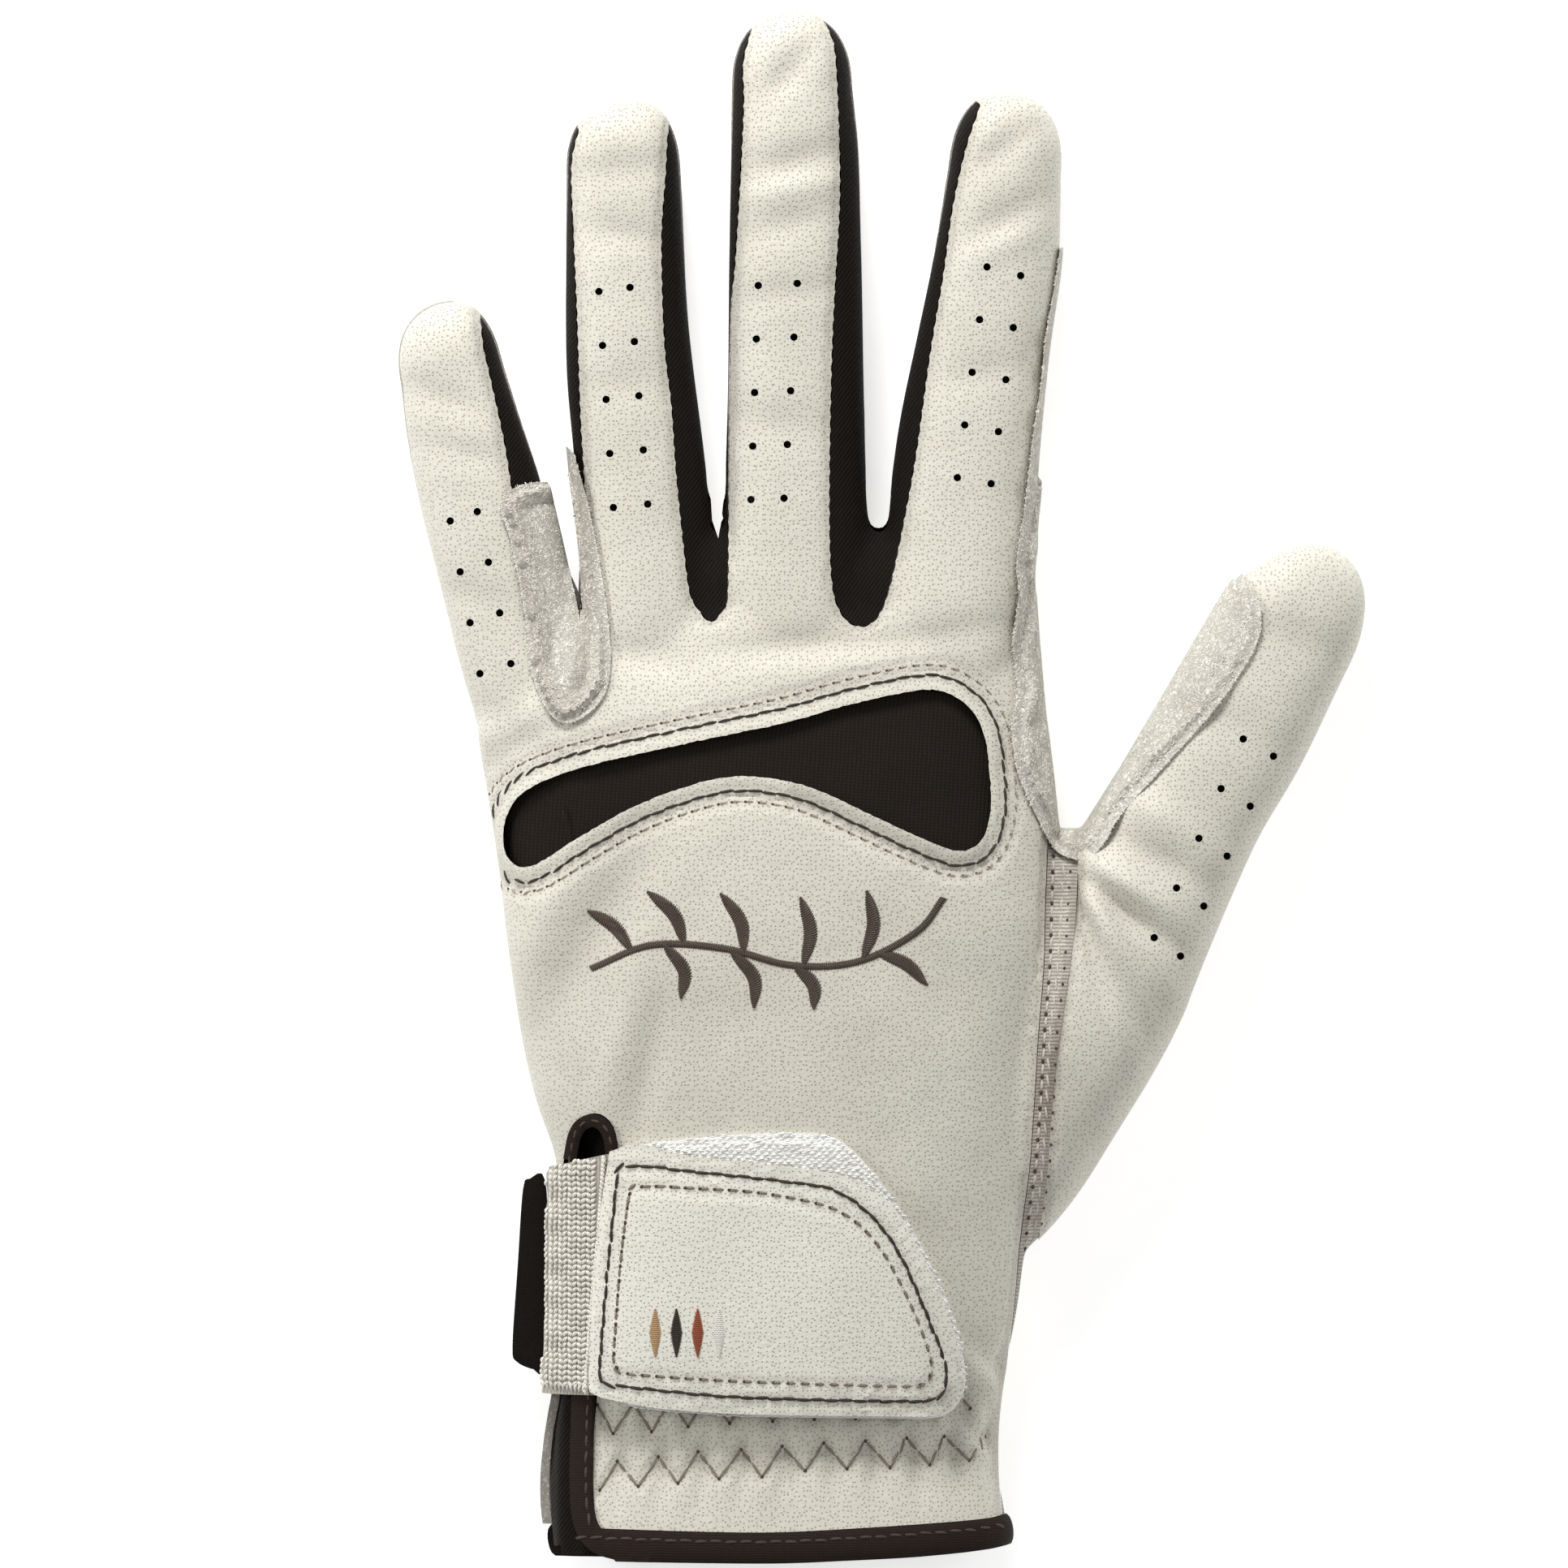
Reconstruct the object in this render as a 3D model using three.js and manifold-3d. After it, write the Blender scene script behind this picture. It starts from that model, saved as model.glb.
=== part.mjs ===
// A left-hand riding glove, lying on its palm: back of the hand up, fingers towards +Y, thumb towards +X.
// The origin is on the surface under the middle of the palm. Millimetres, +Z up.
import * as THREE from 'three';
import { mergeVertices } from 'three/addons/utils/BufferGeometryUtils.js';
import Module from 'manifold-3d';

const wasm = await Module();
wasm.setup();

// Driving dimensions of the hand that the glove fits
const palmLength = 146;
const palmBreadth = 82;
const palmThickness = 26;
const littleFinger = { length: 64.6, breadth: 18, thickness: 16, rootAcross: -0.463, rootAlong: 0.877, lean: -12.1 };
const ringFinger = { length: 82.1, breadth: 20, thickness: 16, rootAcross: -0.244, rootAlong: 0.959, lean: -2.8 };
const middleFinger = { length: 95, breadth: 22, thickness: 16, rootAcross: 0.015, rootAlong: 0.959, lean: 0 };
const indexFinger = { length: 83.2, breadth: 21, thickness: 16, rootAcross: 0.317, rootAlong: 0.959, lean: 5.4 };
const thumb = { length: 116.5, breadth: 24, thickness: 20, rootAcross: 0.335, rootAlong: 0.349, lean: 29 };

// Walls, seams and edges
const leatherWall = 1.2;
const knitWall = 1.0;
const suedeWall = 1.0;
const seamGap = 0.3;
const fingerSeamHeight = 4.6;
const sideSeamHeight = 8;
const thumbSeamHeight = 7;
const bindingRise = 0.6;
const bindingWidth = 4.6;
const gathersDepth = 0.9;
const gathersPitch = 9.4;
const panelMargin = 4;

// Strap and closure on the wrist
const elasticWall = 1.4;
const loopWall = 0.8;
const hookWall = 0.9;
const strapLength = 35;
const strapFoot = 26;
const tabBreadth = 56;
const tabHeight = 40;
const labelLength = 28;
const labelOverhang = 6.5;
const labelWall = 0.8;
const labelCorner = 1.2;

// Vent holes in the back of the fingers
const ventDiameter = 1.1;
const ventPitch = 8.1;
const ventSpread = 5;
const ventSides = 4;

// Fineness of the faceted surfaces
const handSides = 30;
const handLiningSides = 20;
const fingerSides = 12;
const fingerLiningSides = 6;
const thumbSides = 14;
const thumbLiningSides = 8;

// Values that several pieces share
const wideHeight = 0.42;
const flatShare = 0.9;
const sectionFullness = 2.4;
const fingerTipFullness = 2.3;
const roundTipFullness = 2;
const denseSteps = 240;
const low = -palmThickness;
const high = 3 * palmThickness;
const palmRest = 0.582 * palmLength;
const flankReach = 3.5;
const flankRise = 2.6;
const stripFlankReach = 7;
const stripFlankTop = 11.5;
const patchFoot = 2.5;
const forkFoot = 0.085;
const wristReach = 0.422;

const named = (columns, rows) => rows.map((row) => (
  Object.fromEntries(columns.map((column, place) => [column, row[place]]))
));

// Sections of each soft tube, from its root to where the tip starts to round.
// along is a share of the length, left, right and the leather edges of the breadth, top and under of the thickness.
const sectionColumns = ['along', 'left', 'right', 'top', 'under', 'leatherLeft', 'leatherRight', 'gather'];
const sections = {
  hand: named(sectionColumns, [
    [-0.055, 0.446, 0.422, 0.96, 0.035, 0, 0, 0],
    [0.014, 0.449, 0.420, 0.945, 0.035, 0, 0, 0.1],
    [0.055, 0.459, 0.410, 0.905, 0.030, 0, 0, 0.6],
    [0.096, 0.455, 0.401, 0.860, 0.015, 0, 0, 1],
    [0.185, 0.429, 0.407, 0.855, 0, 0, 0, 0.3],
    [0.260, wristReach, 0.430, 0.900, 0, 0, 0, 0],
    [0.418, 0.424, 0.468, 0.985, 0, 0, 0, 0],
    [0.562, 0.490, 0.495, 1.040, 0, 0, 0, 0],
    [0.733, 0.532, 0.506, 1.000, 0, 0, 0, 0],
    [0.877, 0.571, 0.476, 0.845, 0.008, 0, 0, 0],
    [0.938, 0.543, 0.467, 0.745, 0.020, 0, 0, 0],
    [0.993, 0.451, 0.465, 0.640, 0.030, 0, 0, 0],
    [1.034, 0.354, 0.445, 0.480, 0.100, 0, 0, 0],
  ]),
  little: named(sectionColumns, [
    [-0.20, 0.420, 0.440, 1.02, 0.010, 0.6, 0.289, 0],
    [0, 0.478, 0.500, 1.09, 0.010, 0.6, 0.289, 0],
    [0.25, 0.517, 0.505, 0.97, 0.050, 0.6, 0.255, 0],
    [0.38, 0.533, 0.500, 0.93, 0.065, 0.65, 0.244, 0],
    [0.62, 0.550, 0.450, 0.87, 0.060, 0.65, 0.250, 0],
    [0.74, 0.533, 0.411, 0.84, 0.035, 0.65, 0.250, 0],
    [0.84, 0.489, 0.361, 0.80, 0.015, 0.65, 0.252, 0],
  ]),
  ring: named(sectionColumns, [
    [-0.17, 0.440, 0.440, 1.10, 0.035, 0.410, 0.330, 0],
    [0, 0.470, 0.490, 1.16, 0.035, 0.410, 0.330, 0],
    [0.25, 0.505, 0.495, 1.04, 0.065, 0.450, 0.262, 0],
    [0.38, 0.550, 0.475, 1.00, 0.075, 0.475, 0.242, 0],
    [0.62, 0.550, 0.395, 0.94, 0.055, 0.452, 0.212, 0],
    [0.74, 0.520, 0.395, 0.90, 0.035, 0.465, 0.228, 0],
    [0.87, 0.475, 0.385, 0.84, 0.015, 0.445, 0.290, 0],
  ]),
  middle: named(sectionColumns, [
    [-0.17, 0.440, 0.460, 1.12, 0.035, 0.464, 0.320, 0],
    [0, 0.482, 0.555, 1.17, 0.035, 0.464, 0.320, 0],
    [0.25, 0.473, 0.527, 1.05, 0.065, 0.441, 0.264, 0],
    [0.38, 0.459, 0.514, 1.01, 0.075, 0.436, 0.270, 0],
    [0.62, 0.445, 0.491, 0.95, 0.055, 0.386, 0.310, 0],
    [0.74, 0.432, 0.482, 0.91, 0.035, 0.359, 0.327, 0],
    [0.865, 0.423, 0.414, 0.85, 0.015, 0.336, 0.309, 0],
  ]),
  index: named(sectionColumns, [
    [-0.17, 0.500, 0.440, 1.08, 0.035, 0.533, 0.6, 0],
    [0, 0.600, 0.514, 1.16, 0.035, 0.533, 0.6, 0],
    [0.25, 0.590, 0.462, 1.05, 0.065, 0.443, 0.6, 0],
    [0.38, 0.567, 0.452, 1.01, 0.075, 0.410, 0.6, 0],
    [0.62, 0.462, 0.467, 0.94, 0.055, 0.348, 0.6, 0],
    [0.74, 0.410, 0.481, 0.91, 0.035, 0.329, 0.6, 0],
    [0.86, 0.367, 0.443, 0.84, 0.015, 0.257, 0.6, 0],
  ]),
  thumb: named(sectionColumns, [
    [-0.06, 0.200, 0.300, 0.70, 0.200, 0.6, 0.6, 0],
    [0.06, 0.280, 0.480, 0.88, 0.090, 0.6, 0.6, 0],
    [0.20, 0.400, 0.538, 1.00, 0.030, 0.6, 0.6, 0],
    [0.352, 0.583, 0.563, 1.065, 0.010, 0.6, 0.6, 0],
    [0.442, 0.583, 0.508, 1.05, 0.005, 0.6, 0.6, 0],
    [0.532, 0.550, 0.463, 1.015, 0.005, 0.6, 0.6, 0],
    [0.627, 0.521, 0.433, 0.95, 0.010, 0.6, 0.6, 0],
    [0.730, 0.496, 0.442, 0.885, 0.010, 0.6, 0.6, 0],
    [0.867, 0.458, 0.404, 0.79, 0.005, 0.6, 0.6, 0],
  ]),
};

// Dents and folds of the back, in the own frame of the tube that they are on. turn is from across, in degrees.
// across, long and wide are shares of its breadth, along of its length, deep of its thickness.
const dents = named(['on', 'across', 'along', 'long', 'wide', 'turn', 'deep'], [
  ['hand', -0.38, 0.61, 0.30, 0.060, 62, 0.075],
  ['hand', -0.25, 0.49, 0.22, 0.070, 70, 0.050],
  ['hand', 0.02, 0.955, 0.18, 0.030, 0, 0.045],
  ['hand', 0.30, 0.16, 0.10, 0.035, -55, 0.060],
  ['hand', -0.47, 0.86, 0.10, 0.040, 20, 0.040],
  ['middle', -0.25, 0.91, 0.20, 0.14, 60, 0.080],
  ['middle', -0.05, 0.76, 0.32, 0.14, 12, 0.070],
  ['middle', -0.15, 0.66, 0.28, 0.12, 15, 0.050],
  ['middle', 0.05, 0.55, 0.30, 0.12, 10, 0.040],
  ['index', -0.20, 0.90, 0.28, 0.14, 35, 0.080],
  ['index', -0.05, 0.76, 0.30, 0.13, 30, 0.060],
  ['ring', 0.00, 0.86, 0.30, 0.16, 5, 0.040],
  ['thumb', -0.20, 0.43, 0.42, 0.13, -35, 0.120],
  ['thumb', -0.02, 0.32, 0.42, 0.12, -62, 0.100],
  ['thumb', 0.05, 0.52, 0.34, 0.12, -12, 0.060],
]);

const parts = {
  hand: {
    length: palmLength, breadth: palmBreadth, thickness: palmThickness, rootAcross: 0, rootAlong: 0, lean: 0,
    sides: handSides, liningSides: handLiningSides, tipFullness: roundTipFullness, tipStep: 0.04,
  },
  little: { ...littleFinger, sides: fingerSides, liningSides: fingerLiningSides, tipFullness: fingerTipFullness },
  ring: { ...ringFinger, sides: fingerSides, liningSides: fingerLiningSides, tipFullness: fingerTipFullness },
  middle: { ...middleFinger, sides: fingerSides, liningSides: fingerLiningSides, tipFullness: fingerTipFullness },
  index: { ...indexFinger, sides: fingerSides, liningSides: fingerLiningSides, tipFullness: fingerTipFullness },
  thumb: { ...thumb, sides: thumbSides, liningSides: thumbLiningSides, tipFullness: roundTipFullness },
};
const tipSteps = [0.5, 0.83];

// A part's own frame: its root on the surface, its axis, and the direction across it towards the thumb side
function frameOf(part) {
  const lean = THREE.MathUtils.degToRad(part.lean);
  return {
    root: new THREE.Vector2(part.rootAcross * palmBreadth, part.rootAlong * palmLength),
    axis: new THREE.Vector2(Math.sin(lean), Math.cos(lean)),
    side: new THREE.Vector2(Math.cos(lean), -Math.sin(lean)),
  };
}

// A point in the plane of the surface, from millimetres across and along a part
function placeOn(part, across, along) {
  const { root, axis, side } = frameOf(part);
  return root.clone().addScaledVector(side, across).addScaledVector(axis, along);
}

// One closed outline round a soft tube, in equal steps from the middle of its flat underside.
// The outside is gathered in waves, and the lining lies under the whole depth of them.
function sectionOutline(part, row, count, isLining) {
  const top = row.top * part.thickness;
  const under = row.under * part.thickness;
  const middle = under + (top - under) * wideHeight;
  const power = 2 / sectionFullness;
  const dense = [];
  for (let step = 0; step <= denseSteps; step += 1) {
    const turn = 2 * Math.PI * step / denseSteps - Math.PI / 2;
    const reach = Math.cos(turn) < 0 ? row.left : row.right;
    const rise = Math.sin(turn) < 0 ? (middle - under) / flatShare : top - middle;
    const across = Math.sign(Math.cos(turn)) * Math.abs(Math.cos(turn)) ** power * reach * part.breadth;
    const up = middle + Math.sign(Math.sin(turn)) * Math.abs(Math.sin(turn)) ** power * rise;
    dense.push(new THREE.Vector2(across, Math.max(up, under)));
  }
  const lengths = [0];
  for (let step = 1; step <= denseSteps; step += 1) {
    lengths.push(lengths[step - 1] + dense[step].distanceTo(dense[step - 1]));
  }
  const outline = [];
  let step = 0;
  for (let place = 0; place < count; place += 1) {
    const target = lengths[denseSteps] * place / count;
    while (lengths[step + 1] < target) step += 1;
    const share = (target - lengths[step]) / (lengths[step + 1] - lengths[step]);
    const point = dense[step].clone().lerp(dense[step + 1], share);
    const upperShare = Math.max(0, (point.y - middle) / (top - middle));
    const wave = isLining ? 1 : 0.5 - 0.5 * Math.cos(2 * Math.PI * point.x / gathersPitch);
    point.y -= row.gather * gathersDepth * wave * Math.sqrt(upperShare);
    outline.push({ across: point.x, up: point.y, upperShare });
  }
  return outline;
}

// How far a point of the back sinks in the dents of its part
function dentDepth(name, part, across, along) {
  let depth = 0;
  for (const dent of dents) {
    if (dent.on !== name) continue;
    const turn = THREE.MathUtils.degToRad(dent.turn);
    const aside = across - dent.across * part.breadth;
    const ahead = along - dent.along * part.length;
    const lengthwise = (aside * Math.cos(turn) + ahead * Math.sin(turn)) / (dent.long * part.breadth);
    const widthwise = (ahead * Math.cos(turn) - aside * Math.sin(turn)) / (dent.wide * part.breadth);
    depth += dent.deep * part.thickness * Math.exp(-(lengthwise ** 2 + widthwise ** 2));
  }
  return depth;
}

// The rings of a soft tube: its sections, then a rounded tip that shrinks to a point
function tubeRings(name, part, count, isLining) {
  const rows = sections[name];
  const last = rows[rows.length - 1];
  const tipLength = part.tipStep ? part.tipStep * part.length : part.length * (1 - last.along);
  const crown = (last.top + last.under) * part.thickness / 2;
  const rings = rows.map((row) => (
    { along: row.along * part.length, points: sectionOutline(part, row, count, isLining) }
  ));
  for (const step of tipSteps) {
    const scale = (1 - step ** part.tipFullness) ** (1 / part.tipFullness);
    const points = rings[rows.length - 1].points.map((point) => ({
      across: point.across * scale, up: crown + (point.up - crown) * scale, upperShare: point.upperShare,
    }));
    rings.push({ along: last.along * part.length + step * tipLength, points });
  }
  return { rings, crown, tip: last.along * part.length + tipLength };
}

// A closed solid of one soft tube, its whole surface moved outwards by grow
function tube(name, grow) {
  const part = parts[name];
  const isLining = grow < 0;
  const count = isLining ? part.liningSides : part.sides;
  const { rings, crown, tip } = tubeRings(name, part, count, isLining);
  const { axis, side } = frameOf(part);
  const outward = new THREE.Vector3(side.x, side.y, 0);
  const onward = new THREE.Vector3(axis.x, axis.y, 0);
  const start = placeOn(part, 0, 0);
  const spot = (across, along, up) => new THREE.Vector3(start.x, start.y, up)
    .addScaledVector(outward, across).addScaledVector(onward, along);
  const grid = rings.map(({ along, points }) => points.map((point) => {
    const sunk = dentDepth(name, part, point.across, along) * Math.min(1, 2 * point.upperShare);
    return spot(point.across, along, point.up - sunk);
  }));
  const positions = [];
  const poleBack = spot(0, rings[0].along, crown);
  const poleFront = spot(0, tip + grow, crown);
  grid.forEach((ring, ringPlace) => ring.forEach((point, place) => {
    const before = grid[Math.max(ringPlace - 1, 0)][place];
    const after = ringPlace + 1 < grid.length ? grid[ringPlace + 1][place] : poleFront;
    const onwardStep = after.clone().sub(before);
    const roundStep = ring[(place + 1) % count].clone().sub(ring[(place + count - 1) % count]);
    const normal = onwardStep.cross(roundStep).normalize();
    positions.push(...point.clone().addScaledVector(normal, grow).toArray());
  }));
  positions.push(...poleBack.toArray(), ...poleFront.toArray());
  const triangles = [];
  const backIndex = grid.length * count;
  for (let place = 0; place < count; place += 1) {
    const next = (place + 1) % count;
    triangles.push(backIndex, place, next);
    triangles.push(backIndex + 1, backIndex - count + next, backIndex - count + place);
    for (let ring = 0; ring + 1 < grid.length; ring += 1) {
      const here = ring * count;
      const there = here + count;
      triangles.push(here + place, there + next, here + next);
      triangles.push(here + place, there + place, there + next);
    }
  }
  return new wasm.Manifold(new wasm.Mesh({
    numProp: 3, vertProperties: new Float32Array(positions), triVerts: new Uint32Array(triangles),
  }));
}

// The whole hand, all its tubes in one, moved outwards by grow
const grownHands = new Map();
function hand(grow) {
  if (!grownHands.has(grow)) {
    const tubes = Object.keys(parts).map((name) => tube(name, grow));
    grownHands.set(grow, tubes.reduce((whole, piece) => whole.add(piece)));
  }
  return grownHands.get(grow);
}

// A wall that follows the hand, between two distances from its surface
function wall(inner, outer) {
  return hand(outer).subtract(hand(inner));
}

// Outlines are drawn in the plane of the surface, and cut the walls as upright prisms.
function prism(outline, bottom = low, top = high) {
  const extruded = new THREE.ExtrudeGeometry(new THREE.Shape(outline), { depth: top - bottom, bevelEnabled: false });
  extruded.deleteAttribute('normal');
  extruded.deleteAttribute('uv');
  const merged = mergeVertices(extruded.translate(0, 0, bottom));
  return new wasm.Manifold(new wasm.Mesh({
    numProp: 3, vertProperties: merged.attributes.position.array, triVerts: merged.index.array,
  }));
}

// The same outline with each of its points moved outwards
function grown(outline, distance) {
  const facing = THREE.ShapeUtils.isClockWise(outline) ? -1 : 1;
  return outline.map((point, place) => {
    const before = outline[(place + outline.length - 1) % outline.length];
    const after = outline[(place + 1) % outline.length];
    const first = point.clone().sub(before).normalize();
    const second = after.clone().sub(point).normalize();
    const normal = new THREE.Vector2(first.y + second.y, -first.x - second.x).multiplyScalar(facing);
    const sharpness = Math.max(0.5, 1 + first.dot(second));
    return point.clone().addScaledVector(normal, distance / sharpness);
  });
}

// Points of the hand's outlines, from shares of the palm's breadth and length
function onHand(rows) {
  return rows.map(([across, along]) => new THREE.Vector2(across * palmBreadth, along * palmLength));
}

// A closed smooth curve through a few points
function rounded(points, steps) {
  const curve = new THREE.CatmullRomCurve3(points.map((point) => new THREE.Vector3(point.x, point.y, 0)), true);
  return curve.getPoints(points.length * steps).slice(0, -1).map((point) => new THREE.Vector2(point.x, point.y));
}

const everywhere = onHand([[-3, -2], [3, -2], [3, 3], [-3, 3]]);

// One edge of the leather on a finger's back, from its root to its tip, where it closes in over the crown
const tipEdge = { brow: 0.62, crown: 0.86, closeIn: 0.8, past: 1.06, spread: 1.2 };
function leatherEdge(name, side) {
  const part = parts[name];
  const rows = sections[name];
  const last = rows[rows.length - 1];
  const tipLength = part.length * (1 - last.along);
  const away = side === 'left' ? -1 : 1;
  const column = side === 'left' ? 'leatherLeft' : 'leatherRight';
  const footShare = THREE.MathUtils.lerp(rows[1][column], rows[2][column], forkFoot / rows[2].along);
  const points = [placeOn(part, away * footShare * part.breadth, forkFoot * part.length)];
  for (const row of rows.slice(2)) {
    points.push(placeOn(part, away * row[column] * part.breadth, row.along * part.length));
  }
  const brow = last.along * part.length + tipEdge.brow * tipLength;
  const crown = last.along * part.length + tipEdge.crown * tipLength;
  const reach = away * last[column] * part.breadth;
  points.push(placeOn(part, reach, brow));
  points.push(placeOn(part, tipEdge.closeIn * reach, crown));
  points.push(placeOn(part, away * tipEdge.spread * last[side] * part.breadth, part.length * tipEdge.past));
  return points;
}

// The knit between two fingers: down the first one's leather edge, round the root and up the next one's
function forkOutline(first, second, root) {
  const down = leatherEdge(first, 'right').reverse();
  const up = leatherEdge(second, 'left');
  const turn = new THREE.QuadraticBezierCurve(down[down.length - 1], onHand([root])[0], up[0]);
  return [...down, ...turn.getPoints(5).slice(1, -1), ...up];
}

const forks = {
  little_ring: forkOutline('little', 'ring', [-0.405, 0.875]),
  ring_middle: forkOutline('ring', 'middle', [-0.138, 0.945]),
  middle_index: forkOutline('middle', 'index', [0.140, 0.940]),
};

const thumbOutline = onHand([
  [0.533, 0.768], [0.541, 0.733], [0.537, 0.670], [0.523, 0.603], [0.503, 0.534], [0.492, 0.465], [0.485, 0.400],
  [0.476, 0.342], [0.467, 0.318], [0.75, 0.15], [1.4, 0.4], [1.4, 1.2], [0.78, 1.2], [0.55, 0.86],
]);
const stripOutline = onHand([
  [0.541, 0.745], [0.488, 0.745], [0.483, 0.690], [0.481, 0.616], [0.469, 0.548], [0.462, 0.480], [0.455, 0.411],
  [0.440, 0.355], [0.418, 0.290], [0.396, 0.220], [0.386, 0.150], [0.382, 0.100], [0.384, -0.2],
  [0.9, -0.2], [0.9, 0.3], [0.6, 0.6],
]);
const windowOutline = rounded(onHand([
  [-0.517, 0.753], [-0.490, 0.793], [-0.415, 0.816], [-0.268, 0.837], [-0.061, 0.863], [0.146, 0.892],
  [0.280, 0.903], [0.354, 0.880], [0.378, 0.829], [0.378, 0.767], [0.329, 0.737], [0.232, 0.756],
  [0.110, 0.789], [-0.049, 0.813], [-0.195, 0.801], [-0.341, 0.763], [-0.463, 0.722],
]), 2);
const outerSide = onHand([
  [-1.2, -0.2], [-0.30, -0.2], [-0.30, 0.45], [-0.44, 0.877], [-0.53, 1.10], [-0.622, 1.34], [-1.2, 1.34],
]);
const cuffOutline = onHand([
  [-0.7, 0.0035], [0, 0.002], [0.183, 0.006], [0.366, 0.017], [0.6, 0.03],
  [0.6, 0.03 + bindingWidth / palmLength], [0.366, 0.014 + bindingWidth / palmLength],
  [0.183, 0.007 + bindingWidth / palmLength], [0, 0.002 + bindingWidth / palmLength],
  [-0.7, 0.0035 + bindingWidth / palmLength],
]);
const aboveCuff = onHand([
  [-3, 0.0035], [-0.7, 0.0035], [0, 0.002], [0.183, 0.006], [0.366, 0.017], [0.6, 0.03], [3, 0.03], [3, 3], [-3, 3],
]);
const ventRim = onHand([
  [-0.7, -0.1], [-0.32, -0.1], [-0.328, 0.036], [-0.343, 0.055], [-0.350, 0.082], [-0.350, 0.171],
  [-0.328, 0.308], [-0.309, 0.425], [-0.310, 0.444], [-0.326, 0.458], [-0.346, 0.464], [-0.368, 0.460],
  [-0.387, 0.448], [-0.397, 0.428], [-0.45, 0.26], [-0.7, 0.16],
]);
const ventOpening = onHand([
  [-0.7, -0.1], [-0.30, -0.1], [-0.30, 0.0025], [-0.323, 0.006], [-0.354, 0.016], [-0.378, 0.031], [-0.390, 0.055],
  [-0.393, 0.103], [-0.393, 0.171], [-0.361, 0.308], [-0.330, 0.418], [-0.334, 0.437], [-0.350, 0.446],
  [-0.368, 0.440], [-0.380, 0.420], [-0.432, 0.25], [-0.7, 0.14],
]);

// The upper side of the glove lies above the seams round its edge, the lower side below them.
const upperSide = prism(everywhere, fingerSeamHeight + seamGap / 2)
  .subtract(prism(grown(outerSide, seamGap), low, sideSeamHeight + seamGap / 2));
const lowerSide = prism(everywhere, low, fingerSeamHeight - seamGap / 2)
  .add(prism(outerSide, low, sideSeamHeight - seamGap / 2));
const insideCuff = prism(aboveCuff);
const bindingShape = prism(cuffOutline).add(prism(ventRim).intersect(upperSide));
const bindingClearance = prism(grown(cuffOutline, seamGap)).add(prism(grown(ventRim, seamGap)).intersect(upperSide));

const leather = wall(-leatherWall, 0).intersect(insideCuff).subtract(bindingClearance);

function ventHoles() {
  const rows = named(['on', 'count', 'first', 'centreLow', 'centreHigh'], [
    ['little', 4, 0.127, -0.222, -0.217],
    ['ring', 5, 0.245, -0.112, -0.152],
    ['middle', 5, 0.221, -0.168, -0.098],
    ['index', 5, 0.286, 0.025, 0.097],
    ['thumb', 5, 0.443, 0.255, 0.150],
  ]);
  const holes = [];
  for (const row of rows) {
    const part = parts[row.on];
    for (let place = 0; place < row.count; place += 1) {
      const share = place / (row.count - 1);
      const centre = THREE.MathUtils.lerp(row.centreLow, row.centreHigh, share) * part.breadth;
      for (const side of [-0.5, 0.5]) {
        const spot = placeOn(part, centre + side * ventSpread, row.first * part.length + place * ventPitch);
        const outline = Array.from({ length: ventSides }, (unused, corner) => {
          const turn = 2 * Math.PI * corner / ventSides;
          return new THREE.Vector2(Math.cos(turn), Math.sin(turn)).multiplyScalar(ventDiameter / 2).add(spot);
        });
        holes.push(prism(outline, sideSeamHeight));
      }
    }
  }
  return holes.reduce((whole, hole) => whole.add(hole));
}

// Beside a fork or the strip, the foot of the leather's flank belongs to that neighbour.
const flankTop = fingerSeamHeight + flankRise;
const flankOf = (outline, reach, top) => prism(grown(outline, reach), low, top);
const forkFlank = (outline, margin) => flankOf(outline, flankReach - margin, flankTop - margin);
const stripFlank = (margin) => flankOf(stripOutline, stripFlankReach - margin, stripFlankTop - margin);
const leatherFlanks = Object.values(forks).map((outline) => forkFlank(outline, 0))
  .reduce((whole, piece) => whole.add(piece), stripFlank(0));
const thumbClearance = prism(grown(thumbOutline, seamGap));
const stripClearance = prism(grown(stripOutline, seamGap));
const forkClearance = Object.values(forks).map((outline) => prism(grown(outline, seamGap)))
  .reduce((whole, piece) => whole.add(piece));
const holes = ventHoles();

function backLeather() {
  return leather.intersect(upperSide).subtract(thumbClearance).subtract(stripClearance)
    .subtract(forkClearance).subtract(leatherFlanks).subtract(prism(windowOutline)).subtract(holes);
}

function palmLeather() {
  return leather.intersect(lowerSide).subtract(thumbClearance);
}

function fork(name) {
  const shape = prism(forks[name]).add(forkFlank(forks[name], seamGap));
  return leather.intersect(upperSide).intersect(shape);
}

function thumbBack() {
  return leather.intersect(prism(thumbOutline, thumbSeamHeight + seamGap / 2)).subtract(holes);
}

function thumbPalm() {
  return leather.intersect(prism(thumbOutline, low, thumbSeamHeight - seamGap / 2));
}

function seamStrip() {
  const shape = prism(stripOutline).add(stripFlank(seamGap));
  return leather.intersect(upperSide).intersect(shape).subtract(thumbClearance);
}

function knucklePanel() {
  const outer = -leatherWall - seamGap;
  return wall(outer - knitWall, outer).intersect(prism(grown(windowOutline, panelMargin), sideSeamHeight));
}

function cuffBinding() {
  return wall(-leatherWall - seamGap, bindingRise).intersect(bindingShape).intersect(insideCuff)
    .subtract(prism(ventOpening).intersect(upperSide));
}

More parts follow.
